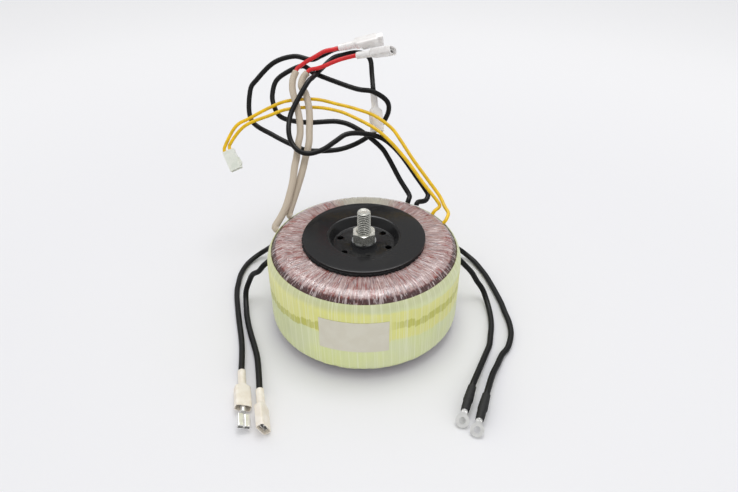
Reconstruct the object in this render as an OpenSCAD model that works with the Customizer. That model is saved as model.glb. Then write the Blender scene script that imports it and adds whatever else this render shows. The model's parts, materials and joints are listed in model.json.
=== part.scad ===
// Toroidal mains transformer with its clamping kit and its leads.
// Millimetres, +Z up. The bolt's axis is the Z axis and the lower washer's rim stands on z = 0.

/* [Core and windings] */
// Outer diameter of the strip-wound steel core
core_od = 100; // [98:1:101]
// Inner diameter of the strip-wound steel core
core_id = 72; // [71:1:76]
// Height of the core
core_h = 38; // [30:1:44]
// Wrap between the core and the primary
core_wrap_t = 0.8; // [0.4:0.1:1]
// Build of the primary over the outside, top and underside of the core
primary_t = 3; // [2:0.1:3.4]
// Build of the secondary over the outside, top and underside
secondary_t = 3.2; // [2:0.1:3.6]
// How much thicker the windings lie in the hole than outside
hole_crowding = 1.6; // [1.2:0.05:1.65]
// Wrap between the two windings
layer_wrap_t = 0.5; // [0.3:0.1:0.8]

/* [Outer film] */
// Film over the windings, all its overlapping turns together
film_t = 1.1; // [0.9:0.1:1.6]
// Turns that the film takes round the ring
film_turns = 76; // [60:1:84]
// Step that each turn's edge makes over the last one
film_step = 0.3; // [0.1:0.05:0.4]
// Rounding of the winding's top outer shoulder
top_shoulder = 11; // [9:0.5:14]
// Rounding of the winding's bottom outer shoulder
bottom_shoulder = 8; // [6:0.5:12]
// Rounding of both edges of the hole
hole_shoulder = 5; // [4:0.5:6]
// Side tape
side_tape_t = 0.45; // [0.3:0.05:0.8]
// How far the side tape turns in over the top shoulder
tape_turn_in = 52; // [50:1:58]
// Width of the label
label_w = 40; // [20:1:60]
// Height of the label
label_h = 21.5; // [10:0.5:26]
// Height of the label's middle over the middle of the body
label_up = 2; // [-4:1:5]
// Turn of the label's middle from the front, towards the left
label_turn = 5.5; // [-10:0.5:40]
// Label stock
label_t = 0.15; // [0.1:0.05:0.3]

/* [Clamping kit] */
// Diameter of the two dished washers
washer_d = 74; // [66:1:80]
// Steel of the dished washers
washer_t = 1.2; // [0.8:0.1:1.6]
// Diameter of the dish at the rim
dish_d = 45; // [42:0.5:46]
// Diameter of the dish's flat floor
dish_floor_d = 36; // [35.5:0.5:38]
// Depth of the dish
dish_depth = 5.6; // [5.4:0.1:7]
// Circle of the small holes in the dish
vent_circle_d = 31; // [28:0.5:31]
// Small holes in the dish
vent_d = 4; // [2:0.5:4.5]
// Number of small holes
vent_count = 6; // [3:1:8]
// Turn of the first small hole
vent_turn = 41; // [0:1:60]
// Rubber pads
pad_t = 1.8; // [1:0.1:3]
// How far the pads stand out past the washers
pad_overhang = 0.5; // [0:0.1:2]
// Diameter of the hole in the pads
pad_hole_d = 52; // [48:1:60]

/* [Bolt] */
// Diameter of the bolt's thread
bolt_d = 8; // [6:0.5:8.5]
// Pitch of the thread
thread_pitch = 1.25; // [1:0.25:1.25]
// Length of bolt that stands out above the nut
bolt_end = 14; // [8:1:30]
// Height of the bolt's head
head_h = 5.3; // [3:0.1:5.3]
// Width across the flats of the head and the nut
hex_af = 13; // [11:0.5:14]
// Height of the nut
nut_h = 6.5; // [4:0.1:9]
// Thickness of the spring washer
spring_t = 2; // [1:0.1:3]
// Outer diameter of the spring washer
spring_d = 14.8; // [12:0.1:18]
// Running clearance round the bolt, on the radius
bolt_gap = 0.2; // [0.1:0.05:0.4]

/* [Leads] */
// Black leads that lie on the table
table_lead_d = 3.6; // [2.6:0.1:3.6]
// Black leads at the back
back_lead_d = 3.4; // [2.6:0.1:3.4]
// Red leads
red_lead_d = 2.8; // [2:0.1:2.8]
// Yellow leads
yellow_lead_d = 2.3; // [1.6:0.1:2.3]
// Cream sleeves over the red leads
sleeve_d = 4.6; // [3.6:0.1:4.6]

/* [Receptacles] */
// Width of the tab that the receptacle takes
tab_w = 6.3; // [4.8:0.1:6.6]
// Thickness of that tab
tab_t = 0.8; // [0.5:0.1:1]
// Sheet of the receptacle
terminal_t = 0.4; // [0.3:0.05:0.5]
// Length of the receptacle's rolled part
terminal_l = 8; // [6:0.5:9]
// Length of the crimp barrel
barrel_l = 6; // [4:0.5:7]
// Length of an insulating boot
boot_l = 27; // [24:0.5:32]
// Wall of a boot
boot_t = 0.4; // [0.3:0.05:0.6]
// Length of a boot's round neck
boot_neck_l = 10; // [7:0.5:12]

/* [Ring terminals] */
// Hole for the screw
eye_d = 3.7; // [2.7:0.1:4.3]
// Width of the ring
ring_d = 7.4; // [7:0.1:8]
// Sheet of the ring
ring_t = 0.8; // [0.6:0.1:1]
// How far the ring is bent down from its barrel
ring_bend = 38; // [0:1:40]
// Length of the heat-shrink tube
shrink_l = 18; // [14:0.5:22]

/* [Plug housing] */
// Width of the housing
housing_w = 8; // [7.4:0.1:10]
// Thickness of the housing
housing_t = 6; // [5:0.1:8]
// Length of the housing
housing_l = 14; // [10:0.5:18]
// Distance between the two contacts
contact_pitch = 3.8; // [3.6:0.1:4]

/* [Hidden] */
$fn = 64;
eps = 0.01;                 // overshoot of a cut past the face it opens
skin_gap = 0.03;            // adhesive between a skin and what it lies on
washer_edge = 0.25;         // broken edge of the dished washers
bolt_point = 1;             // chamfer on the bolt's end
thread_gap = 0.05;          // between the nut's thread and the bolt's, taken on the pitch cylinder
pitch_share = 0.3248;       // how far a metric thread's pitch cylinder lies inside its crests, in pitches
spring_turn = 120;          // where the spring washer is split
spring_slant = 25;
spring_split = 1.2;
cord_sides = 8;
ring_step = 2.8;            // lead diameters from one ring of points to the next
exit_run = 2.5;             // a lead's first stretch, square to the body
on_film = 0.1;              // gap between a lead's end and the film
on_tape = side_tape_t + on_film + skin_gap;
lying = table_lead_d / 2 + 0.1;                             // height of a lead that lies on the table
barrel_r = 1.55;            // crimp barrel of a receptacle
barrel_gap = 2;             // from the barrel to the rolled part
tab_gap = 0.15;             // room for the tab
curl_room = 0.9;            // room inside the rolled edges, over the tab
boot_gap = 0.12;            // between the thickest lead and a boot's neck
boot_neck_r = max(table_lead_d, back_lead_d, red_lead_d) / 2 + boot_gap + boot_t;
boot_flare_l = 3;
boot_w = 9.4;               // mouth of a boot
boot_depth = 5;
boot_back = 9;              // how far a boot reaches back over its lead
slipped_boot_back = 24;     // the same on the boot that has slipped off its receptacle
boot_points = 12;
shrink_front = 4.5;         // how far the heat-shrink tube covers the ring terminal's barrel
shrink_back = shrink_l - shrink_front;
shrink_gap = 0.1;
shrink_wall = 0.4;
ring_barrel_r = 1.7;
ring_barrel_l = 5;
cavity = 2.9;               // square cavities of the plug housing
contact_w = 2;
contact_l = 8;
contact_in = 4;             // from the housing's rear face to the end of each yellow lead
housing_at = [-94, 77, 79];                                 // middle of the housing's rear face
housing_way = [6, -8, -11];
housing_roll = 120;

// ---- heights and radii of the stack, from the core outwards ----
foot = washer_t + pad_t;                                    // underside of the film
wall_t = core_wrap_t + primary_t + layer_wrap_t + secondary_t;
body_h = core_h + 2 * (wall_t + film_t);
mid_z = foot + body_h / 2;
body_top = foot + body_h;
rim_z = body_top + foot;                                    // top of the upper washer's rim
body_r = core_od / 2 + wall_t + film_t;                     // side of the film
label_r = body_r + side_tape_t + 2 * skin_gap;              // underside of the label
hole_r = core_id / 2 - core_wrap_t - layer_wrap_t - hole_crowding * (primary_t + secondary_t) - film_t;
washer_r = washer_d / 2;
floor_z = rim_z - dish_depth;                               // floor that the spring washer sits on
nut_z = floor_z + spring_t;
head_top = dish_depth;                                      // head's face under the lower dish
bolt_top = nut_z + nut_h + bolt_end;
bolt_r = bolt_d / 2;
crest_h = pitch_share * thread_pitch;
pitch_r = bolt_r - crest_h;                                 // where the nut's thread and the bolt's meet

// ---- ring sections ----
// Square section from r0 to r1 and z0 to z1 with rounded corners: in the hole, top outside, bottom outside
module rounded_section(r0, r1, z0, z1, ri, rt, rb) {
    difference() {
        translate([r0, z0]) square([r1 - r0, z1 - z0]);
        corner_cut(r0 + ri, z0 + ri, ri, 180);
        corner_cut(r0 + ri, z1 - ri, ri, 90);
        corner_cut(r1 - rt, z1 - rt, rt, 0);
        corner_cut(r1 - rb, z0 + rb, rb, 270);
    }
}
// What a rounding of radius r about [x, y] takes off the corner that lies towards the angle a
module corner_cut(x, y, r, a) {
    translate([x, y]) rotate(a) difference() {
        square(r + 1);
        circle(r);
    }
}
// Section of the ring after some layers: s is the build outside, h the build in the hole
module layer_section(s, h) {
    rounded_section(
        core_id / 2 - h, core_od / 2 + s, mid_z - core_h / 2 - s, mid_z + core_h / 2 + s,
        corner(hole_shoulder, h), corner(top_shoulder, s), corner(bottom_shoulder, s)
    );
}
core_corner = 1;
full_build = wall_t + film_t;
// Corner radius grows evenly from the core's own edge to the finished shoulder
function corner(final_r, s) = core_corner + (final_r - core_corner) * s / full_build;
// Layer builds: outside, and in the hole
s1 = core_wrap_t;
h1 = core_wrap_t;
s2 = s1 + primary_t;
h2 = h1 + hole_crowding * primary_t;
s3 = s2 + layer_wrap_t;
h3 = h2 + layer_wrap_t;
s4 = s3 + secondary_t;
h4 = h3 + hole_crowding * secondary_t;
module ring_between(s_out, h_out, s_in, h_in) {
    rotate_extrude($fn = 96) difference() {
        layer_section(s_out, h_out);
        layer_section(s_in, h_in);
    }
}
module core() {
    color("#6c6f73") rotate_extrude($fn = 96) layer_section(0, 0);
}
module core_wrap() {
    color("#e8e4d2") ring_between(s1, h1, 0, 0);
}
module primary_winding() {
    color("#8c4a2c") ring_between(s2, h2, s1, h1);
}
module layer_wrap() {
    color("#f2e6a0") ring_between(s3, h3, s2, h2);
}
module secondary_winding() {
    color("#7a2f2c") ring_between(s4, h4, s3, h3);
}

// ---- outer film: one strip wound round the section, each turn overlapping the last ----
// Stations round the section, each [r, z, nr, nz, free]: nr and nz point outwards, and free is 0
// where a pad or the hole's wall holds the film flat
function arc_stations(r, z, rad, from, to, n, free) = [
    for (k = [0:n]) let (a = from + (to - from) * k / n)
        [r + rad * cos(a), z + rad * sin(a), cos(a), sin(a), free]
];
free_r = washer_r + pad_overhang + 1;
stations = concat(
    arc_stations(hole_r + hole_shoulder, foot + hole_shoulder, hole_shoulder, 225, 180, 1, 0),
    arc_stations(hole_r + hole_shoulder, body_top - hole_shoulder, hole_shoulder, 180, 90, 2, 0),
    [[free_r, body_top, 0, 1, 0]],
    [for (a = [90, 70, 90 - tape_turn_in, 18, 0])
        [body_r - top_shoulder + top_shoulder * cos(a), body_top - top_shoulder + top_shoulder * sin(a),
         cos(a), sin(a), 1]],
    arc_stations(body_r - bottom_shoulder, foot + bottom_shoulder, bottom_shoulder, 0, -90, 3, 1),
    [[free_r, foot, 0, -1, 0], [hole_r + hole_shoulder, foot, 0, -1, 0]]
);
n_st = len(stations);
n_sides = 2 * film_turns;
turn_edge = 0.25;           // share of a turn that its edge takes
tape_first = 8;             // station where the side tape starts, on the top shoulder
tape_last = 12;             // station where it ends, on the bottom shoulder
// Angle of side i at station s: the strip moves on by one turn each time round the section
function film_angle(i, s) = (floor(i / 2) + (i % 2) * turn_edge + s / n_st) * 360 / film_turns - 90;
// Point of side i at station s, out from the film's smooth surface by the step and by lift
function film_point(i, s, lift) =
    let (st = stations[s], out = (i % 2 == 0 ? -film_step : 0) * st[4] + lift, a = film_angle(i, s),
         r = st[0] + st[2] * out)
    [r * cos(a), r * sin(a), st[1] + st[3] * out];
module outer_film() {
    color("#b98a86") difference() {
        polyhedron(
            points = [for (i = [0:n_sides - 1], s = [0:n_st - 1]) film_point(i, s, 0)],
            faces = [
                for (i = [0:n_sides - 1], s = [0:n_st - 1])
                    let (j = (i + 1) % n_sides, last = s == n_st - 1, t = (s + 1) % n_st,
                         i2 = last ? (i + 2) % n_sides : i, j2 = last ? (j + 2) % n_sides : j,
                         a = i * n_st + s, b = j * n_st + s, c = j2 * n_st + t, d = i2 * n_st + t)
                    each [[a, b, c], [a, c, d]]
            ]
        );
        rotate_extrude($fn = 96) layer_section(s4, h4);
    }
}
// A skin all round the film from station s0 to s1, which lies on its ridges
module film_skin(s0, s1, base, t) {
    rows = s1 - s0 + 1;
    ring = 2 * rows;
    // each column runs down the outer face and back up the inner one
    pts = [
        for (i = [0:n_sides - 1]) each concat(
            [for (s = [s0:s1]) film_point(i, s, base + t)],
            [for (s = [s1:-1:s0]) film_point(i, s, base)]
        )
    ];
    sides = [
        for (c = [0:n_sides - 1], k = [0:ring - 1])
            let (n = (c + 1) % n_sides, m = (k + 1) % ring,
                 p = c * ring + k, q = n * ring + k, r = n * ring + m, s = c * ring + m)
            each [[p, q, r], [p, r, s]]
    ];
    polyhedron(points = pts, faces = sides);
}
module side_tape() {
    color("#dfe39a") film_skin(tape_first, tape_last, skin_gap, side_tape_t);
}
// The label bridges the ridges of the tape, so it is a plain band
module label() {
    turn = label_w / label_r * 180 / PI;
    color("#c9cf9a") translate([0, 0, mid_z + label_up - label_h / 2])
        rotate([0, 0, -90 - label_turn - turn / 2]) rotate_extrude(angle = turn, $fn = 96)
            translate([label_r, 0]) square([label_t, label_h]);
}

// ---- pads and dished washers ----
bend_small = 0.8;           // inner radius of the dish's two bends
rim_bend = washer_t + bend_small;
bend_sum = rim_bend + bend_small;
dish_r = dish_d / 2;
dish_floor_r = dish_floor_d / 2;
// The dish's wall is a straight line tangent to both bends
wall_run = dish_r - dish_floor_r;
wall_len = sqrt(wall_run * wall_run + pow(dish_depth - bend_sum, 2) - bend_sum * bend_sum);
wall_angle = atan2(dish_depth - bend_sum, wall_run) + atan2(bend_sum, wall_len);
// Line of the dish at a depth d under the washer's upper face, from the rim's bend to the floor's bend
function dish_line(d) = concat(
    [for (k = [0:4]) let (a = wall_angle * k / 4, r = rim_bend - d)
        [dish_r - r * sin(a), rim_z - rim_bend + r * cos(a)]],
    [for (k = [4:-1:0]) let (a = wall_angle * k / 4, r = bend_small + d)
        [dish_floor_r + r * sin(a), floor_z + bend_small - r * cos(a)]]
);
module dished_washer() {
    top_line = dish_line(0);
    low_line = dish_line(washer_t);
    n = len(low_line);
    difference() {
        rotate_extrude($fn = 96) polygon(concat(
            [[washer_r, rim_z - washer_edge], [washer_r - washer_edge, rim_z]], top_line,
            [[bolt_r + bolt_gap, floor_z], [bolt_r + bolt_gap, floor_z - washer_t]],
            [for (k = [n - 1:-1:0]) low_line[k]],
            [[washer_r, rim_z - washer_t]]
        ));
        for (k = [0:vent_count - 1])
            rotate([0, 0, vent_turn + k * 360 / vent_count])
                translate([vent_circle_d / 2, 0, floor_z - washer_t - 1]) cylinder(d = vent_d, h = washer_t + 2);
    }
}
module upper_washer() {
    color("#222326") dished_washer();
}
module lower_washer() {
    color("#222326") mirrored() dished_washer();
}
// Children turned over about the ring's middle height
module mirrored() {
    translate([0, 0, 2 * mid_z]) mirror([0, 0, 1]) children();
}
module pad() {
    translate([0, 0, body_top]) difference() {
        cylinder(r = washer_r + pad_overhang, h = pad_t, $fn = 96);
        translate([0, 0, -1]) cylinder(d = pad_hole_d, h = pad_t + 2, $fn = 96);
    }
}
module upper_pad() {
    color("#2b2b2d") pad();
}
module lower_pad() {
    color("#2b2b2d") mirrored() pad();
}

// ---- bolt, spring washer and nut ----
hex_r = hex_af / 2 / cos(30);
// Hexagon of height h whose corners are turned down at the bottom and, for a nut, at the top as well
module hexagon(h, both) {
    drop = (hex_r - hex_af / 2) * tan(30);
    top = both ? drop : 0;
    intersection() {
        rotate(30) cylinder(r = hex_r, h = h, $fn = 6);
        rotate_extrude() polygon([
            [0, 0], [hex_af / 2, 0], [hex_r + eps, drop + eps], [hex_r + eps, h - top - eps],
            [both ? hex_af / 2 : hex_r + eps, h], [0, h]
        ]);
    }
}
// Threads are drawn at their crests, and inside the nut, where two threads mesh, at their pitch cylinder
module bolt() {
    color("#c4c7cb") {
        translate([0, 0, head_top - head_h]) hexagon(head_h, false);
        rotate_extrude() polygon([
            [0, head_top - head_h / 2], [bolt_r, head_top - head_h / 2], [bolt_r, nut_z - crest_h], [pitch_r, nut_z],
            [pitch_r, nut_z + nut_h], [bolt_r, nut_z + nut_h + crest_h], [bolt_r, bolt_top - bolt_point],
            [bolt_r - bolt_point, bolt_top], [0, bolt_top]
        ]);
    }
}
module spring_washer() {
    color("#9a9da2") translate([0, 0, floor_z]) difference() {
        cylinder(d = spring_d, h = spring_t);
        translate([0, 0, -1]) cylinder(r = bolt_r + bolt_gap, h = spring_t + 2);
        // the split runs askew, as on a coiled washer
        rotate([0, 0, spring_turn]) translate([bolt_r, 0, spring_t / 2]) rotate([spring_slant, 0, 0])
            translate([0, -spring_split / 2, -spring_t]) cube([spring_d, spring_split, 2 * spring_t]);
    }
}
module nut() {
    color("#c4c7cb") translate([0, 0, nut_z]) difference() {
        hexagon(nut_h, true);
        translate([0, 0, -1]) cylinder(r = pitch_r + thread_gap, h = nut_h + 2);
    }
}

// ---- leads: a route is a list of points, and its last stretch is straight ----
function unit(v) = v / norm(v);
// Point on the smooth curve through the route, at t of the way from point i to the next one
function curve_at(p, i, t) =
    let (a = p[max(i - 1, 0)], b = p[i], c = p[i + 1], d = p[min(i + 2, len(p) - 1)])
    (2 * b + (c - a) * t + (2 * a - 5 * b + 4 * c - d) * t * t + (3 * b - a - 3 * c + d) * t * t * t) / 2;
function curve(p, step) = concat(
    [for (i = [0:len(p) - 2]) let (n = ceil(norm(p[i + 1] - p[i]) / step))
        for (k = [0:n - 1]) curve_at(p, i, k / n)],
    [p[len(p) - 1]]
);
function headings(q) = [for (i = [0:len(q) - 1]) unit(q[min(i + 1, len(q) - 1)] - q[max(i - 1, 0)])];
// Unit vector along v with what points along t taken out
function square_to(v, t) = unit(v - (v * t) * t);
// One side vector for each heading, carried along the curve without a twist
function sides_of(t) = [
    for (i = 0, u = square_to([0, 0.3, 1], t[0]); i < len(t); u = square_to(u, t[min(i + 1, len(t) - 1)]), i = i + 1) u
];
module tube(route, d) {
    q = curve(route, ring_step * d);
    t = headings(q);
    u = sides_of(t);
    n = len(q);
    m = cord_sides;
    polyhedron(
        points = [
            for (i = [0:n - 1]) let (v = cross(t[i], u[i]))
                for (k = [0:m - 1]) q[i] + d / 2 * (cos(k * 360 / m) * u[i] + sin(k * 360 / m) * v)
        ],
        faces = concat(
            [[for (k = [0:m - 1]) k], [for (k = [m - 1:-1:0]) (n - 1) * m + k]],
            [for (i = [0:n - 2], k = [0:m - 1])
                let (a = i * m + k, b = i * m + (k + 1) % m)
                each [[a, a + m, b + m], [a, b + m, b]]]
        )
    );
}
// A lead leaves the body square to its surface: over the top shoulder at a tilt, or from the side at a height
function shoulder_exit(turn, tilt, lift) = [
    for (out = [0, exit_run]) let (r = body_r - top_shoulder + (top_shoulder + lift + out) * cos(tilt))
        [r * cos(turn), r * sin(turn), body_top - top_shoulder + (top_shoulder + lift + out) * sin(tilt)]
];
function side_exit(turn, z) = [
    for (out = [0, exit_run]) let (r = body_r + on_tape + out) [r * cos(turn), r * sin(turn), z]
];
// Last stretch of a lead: straight along d for a length l, up to the point p
function run_out(p, d, l) = [for (back = [l + 3, l, 0]) p - back * unit(d)];
function end_of(route) = route[len(route) - 1];
function way_of(route) = unit(end_of(route) - route[len(route) - 2]);
// Frame of a piece whose length lies along d, turned by roll about it: its x, y and z
function frame_of(d, roll) =
    let (z = unit(d), e = unit([-z.y, z.x, 0]), x = cross(e, z))
    [cos(roll) * x + sin(roll) * e, cos(roll) * e - sin(roll) * x, z];
// Children drawn along +Z stand at p with their length along d
module placed(p, d, roll) {
    f = frame_of(d, roll);
    multmatrix([for (k = [0:2]) [f[0][k], f[1][k], f[2][k], p[k]]]) children();
}

// ---- routes of the leads ----
left_sleeve_route = concat(shoulder_exit(161, 27, on_tape), [
    [-53, 27, 58], [-50, 33, 63], [-47, 44, 72], [-46, 53, 79], [-45, 59, 83], [-44, 66, 90], [-43, 72, 95],
    [-44, 80, 103], [-47, 89, 111], [-49, 95, 116], [-49, 101, 121], [-47, 105, 125]
]);
right_sleeve_route = concat(shoulder_exit(147, 40, on_tape), [
    [-47, 38, 61], [-44, 46, 68], [-41, 54, 76], [-39, 61, 83], [-37, 67, 90], [-37, 74, 96], [-37, 81, 103],
    [-38, 87, 109], [-40, 93, 114], [-43, 96, 118], [-42, 101, 122], [-39, 103, 125]
]);
red_1_route = concat(
    [for (out = [0, exit_run]) end_of(left_sleeve_route) + out * way_of(left_sleeve_route)],
    [[-40, 107, 131], [-33, 107, 135], [-27, 108, 138]],
    run_out([-9, 109, 142], [9, 1, 2], boot_back)
);
red_2_route = concat(
    [for (out = [0, exit_run]) end_of(right_sleeve_route) + out * way_of(right_sleeve_route)],
    [[-32, 103, 128], [-27, 102, 130], [-20, 102, 133], [-14, 102, 135]],
    run_out([3, 96, 140], [10, -5, 3], boot_back)
);
looped_1_route = concat(shoulder_exit(58, 52, on_film), [
    [30, 52, 59], [24, 60, 66], [16, 69, 78], [10, 73, 85], [-4, 79, 94], [-18, 83, 98], [-40, 84, 97],
    [-57, 90, 98], [-63, 97, 104], [-64, 103, 111], [-60, 109, 119], [-45, 113, 126], [-38, 112, 124],
    [-34, 109, 122], [-7, 95, 117], [6, 91, 116], [16, 91, 108], [14, 91, 96], [1, 85, 85], [-16, 76, 81],
    [-35, 71, 82], [-44, 73, 83], [-63, 83, 88], [-79, 93, 95], [-80, 105, 111], [-75, 110, 118],
    [-63, 115, 128], [-49, 116, 132], [-37, 112, 131], [-30, 114, 133], [-22, 117, 136]
], run_out([-5, 120, 139], [11, 1, 2], boot_back));
looped_2_route = concat(shoulder_exit(52, 42, on_tape), [
    [41, 49, 56], [43, 53, 58], [41, 56, 61], [35, 61, 68], [25, 68, 80], [16, 72, 88], [8, 73, 92], [-3, 71, 95],
    [-12, 67, 96], [-19, 63, 93], [-27, 59, 89], [-36, 57, 87], [-43, 57, 89], [-48, 62, 93], [-50, 68, 99],
    [-49, 77, 106], [-44, 85, 114], [-38, 93, 122], [-35, 100, 123], [-30, 107, 126], [-22, 115, 131],
    [-15, 119, 132], [-7, 121, 133], [0, 121, 132], [4, 117, 129], [5, 109, 122]
], run_out([7, 92, 106], [1, -6, -8], boot_back));
yellow_1_route = concat(shoulder_exit(23.5, 48, on_film), [
    [54, 28, 59], [52, 33, 61], [49, 40, 65], [41, 49, 73], [32, 59, 82], [24, 69, 91], [18, 75, 97],
    [7, 81, 103], [-6, 86, 106], [-18, 89, 108], [-34, 93, 110], [-53, 95, 108], [-66, 92, 104],
    [-79, 89, 98], [-89, 86, 93]
], run_out(contact_end(-1), housing_way, contact_in));
yellow_2_route = concat(shoulder_exit(35.5, 52, on_film), [
    [49, 35, 60], [47, 38, 63], [39, 47, 70], [28, 59, 81], [17, 67, 91], [7, 74, 97], [-6, 82, 101],
    [-18, 87, 104], [-34, 91, 105], [-53, 90, 104], [-66, 88, 100], [-79, 85, 96], [-87, 84, 90]
], run_out(contact_end(1), housing_way, contact_in));
left_1_route = concat(side_exit(148, 30), [
    [-56, 39, 27], [-61, 46, 22], [-67, 55, 14], [-73, 60, 7], [-78, 59, 4], [-83, 54, 2.4], [-86, 48, lying],
    [-88, 38, lying], [-88, 28, lying], [-87, 16, lying], [-82, -6, lying], [-76, -29, 2.2], [-73, -44, 3.4]
], run_out([-66, -81, 4.5], [2, -10, 0], slipped_boot_back));
left_2_route = concat(side_exit(165, 32), [
    [-65, 11, 30], [-69, 11, 25], [-74, 14, 20], [-77, 14, 14], [-79, 11, 9], [-79, 7, 5], [-78, 1, 2.6],
    [-76, -8, lying], [-72, -21, lying], [-68, -32, 2.2], [-64, -44, 2.8], [-61, -57, 4.2]
], run_out([-56, -81, 5.4], [2, -9, 0], boot_back));
right_1_route = concat(side_exit(16, 33), [
    [66, 15, 27], [71, 15, 21], [75, 15, 14], [79, 12, 9], [81, 7, 5], [82, 1, 2.6], [82, -7, lying],
    [81, -16, lying], [79, -25, lying], [77, -33, lying], [73, -42, 2.4], [69, -51, 3.4]
], run_out([56, -83, 6.2], [-3, -8, 0], shrink_back));
right_2_route = concat(side_exit(38, 28), [
    [56, 45, 24], [62, 54, 15], [69, 60, 8], [75, 58, 4], [80, 52, 2.4], [84, 42, lying], [87, 31, lying],
    [91, 9, lying], [92, -2, lying], [93, -13, lying], [92, -24, lying], [88, -35, lying], [83, -42, 2.3],
    [79, -50, 3], [74, -60, 4.4]
], run_out([63, -89, 6.2], [-3, -8, 0], shrink_back));

module left_sleeve() {
    color("#d8cbb4") tube(left_sleeve_route, sleeve_d);
}
module right_sleeve() {
    color("#d8cbb4") tube(right_sleeve_route, sleeve_d);
}
module red_lead_1() {
    color("#d23a3c") tube(red_1_route, red_lead_d);
}
module red_lead_2() {
    color("#d23a3c") tube(red_2_route, red_lead_d);
}
module looped_lead_1() {
    color("#1d1d20") tube(looped_1_route, back_lead_d);
}
module looped_lead_2() {
    color("#1d1d20") tube(looped_2_route, back_lead_d);
}
module yellow_lead_1() {
    color("#f0c419") tube(yellow_1_route, yellow_lead_d);
}
module yellow_lead_2() {
    color("#f0c419") tube(yellow_2_route, yellow_lead_d);
}
module left_lead_1() {
    color("#232326") tube(left_1_route, table_lead_d);
}
module left_lead_2() {
    color("#232326") tube(left_2_route, table_lead_d);
}
module right_lead_1() {
    color("#232326") tube(right_1_route, table_lead_d);
}
module right_lead_2() {
    color("#232326") tube(right_2_route, table_lead_d);
}

// ---- receptacles and boots; each is drawn from the cut end of its lead, which lies at z = 0 ----
module rounded_square(w, h, r) {
    square([w - 2 * r, h], center = true);
    square([w, h - 2 * r], center = true);
    for (x = [-1, 1], y = [-1, 1])
        translate([x * (w / 2 - r), y * (h / 2 - r)]) circle(r, $fn = 24);
}
// Sheet rolled in from both sides over a flat floor, with a seam between the two rolls
module receptacle() {
    w = tab_w + tab_gap + 2 * terminal_t;
    h = tab_t + tab_gap + curl_room + 2 * terminal_t;
    roll = 2 * terminal_t;
    cylinder(r = barrel_r, h = barrel_l, $fn = 32);
    translate([-barrel_r, -h / 2, barrel_l - 1]) cube([2 * barrel_r, terminal_t + 0.4, barrel_gap + 1.5]);
    translate([0, 0, barrel_l + barrel_gap]) linear_extrude(terminal_l) difference() {
        union() {
            for (s = [-1, 1]) translate([s * w / 4, 0]) difference() {
                rounded_square(w / 2 - 0.05, h, roll);
                rounded_square(w / 2 - 0.05 - 2 * terminal_t, h - 2 * terminal_t, roll - terminal_t);
            }
            translate([-w / 2 + roll, -h / 2]) square([w - 2 * roll, terminal_t]);
        }
        translate([-w / 2 + terminal_t, -h / 2 + terminal_t]) square([tab_w + tab_gap, tab_t + tab_gap]);
    }
}
// Ring of points round the boot at height z: w by t, from round (e = 1) towards square
function boot_ring(z, w, t, e) = [
    for (k = [0:boot_points - 1]) let (c = cos(k * 360 / boot_points), s = sin(k * 360 / boot_points))
        [w / 2 * sign(c) * pow(abs(c), e), t / 2 * sign(s) * pow(abs(s), e), z]
];
module boot(back) {
    neck = 2 * boot_neck_r;
    outer = [
        [0, neck, neck, 1], [boot_neck_l, neck, neck, 1], [boot_neck_l + boot_flare_l, boot_w, boot_depth, 0.35],
        [boot_l, boot_w, boot_depth, 0.35]
    ];
    rings = concat(
        [for (o = outer) boot_ring(o[0] - back, o[1], o[2], o[3])],
        [for (k = [3:-1:0]) let (o = outer[k])
            boot_ring(o[0] - back, o[1] - 2 * boot_t, o[2] - 2 * boot_t, o[3])]
    );
    n = len(rings);
    m = boot_points;
    polyhedron(
        points = [for (r = rings) each r],
        faces = [
            for (j = [0:n - 1], k = [0:m - 1])
                let (a = j * m + k, b = j * m + (k + 1) % m, c = (j + 1) % n * m + (k + 1) % m,
                     d = (j + 1) % n * m + k)
                each [[a, d, c], [a, c, b]]
        ]
    );
}
module at_end(route, roll) {
    placed(end_of(route), way_of(route), roll) children();
}
// Turn of each flat piece about its lead
red_1_roll = 100;
red_2_roll = 60;
looped_1_roll = 30;
looped_2_roll = 70;
left_1_roll = 65;
left_2_roll = 25;
module red_terminal_1() {
    color("#b9bcc0") at_end(red_1_route, red_1_roll) receptacle();
}
module red_terminal_2() {
    color("#b9bcc0") at_end(red_2_route, red_2_roll) receptacle();
}
module looped_terminal_1() {
    color("#b9bcc0") at_end(looped_1_route, looped_1_roll) receptacle();
}
module looped_terminal_2() {
    color("#b9bcc0") at_end(looped_2_route, looped_2_roll) receptacle();
}
module left_terminal_1() {
    color("#c9ccd0") at_end(left_1_route, left_1_roll) receptacle();
}
module left_terminal_2() {
    color("#c9ccd0") at_end(left_2_route, left_2_roll) receptacle();
}
module red_boot_1() {
    color("#f2f0ec") at_end(red_1_route, red_1_roll) boot(boot_back);
}
module red_boot_2() {
    color("#f2f0ec") at_end(red_2_route, red_2_roll) boot(boot_back);
}
module looped_boot_1() {
    color("#f2f0ec") at_end(looped_1_route, looped_1_roll) boot(boot_back);
}
module looped_boot_2() {
    color("#f2f0ec") at_end(looped_2_route, looped_2_roll) boot(boot_back);
}
module left_boot_1() {
    color("#ece5d2") at_end(left_1_route, left_1_roll) boot(slipped_boot_back);
}
module left_boot_2() {
    color("#ece5d2") at_end(left_2_route, left_2_roll) boot(boot_back);
}

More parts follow.
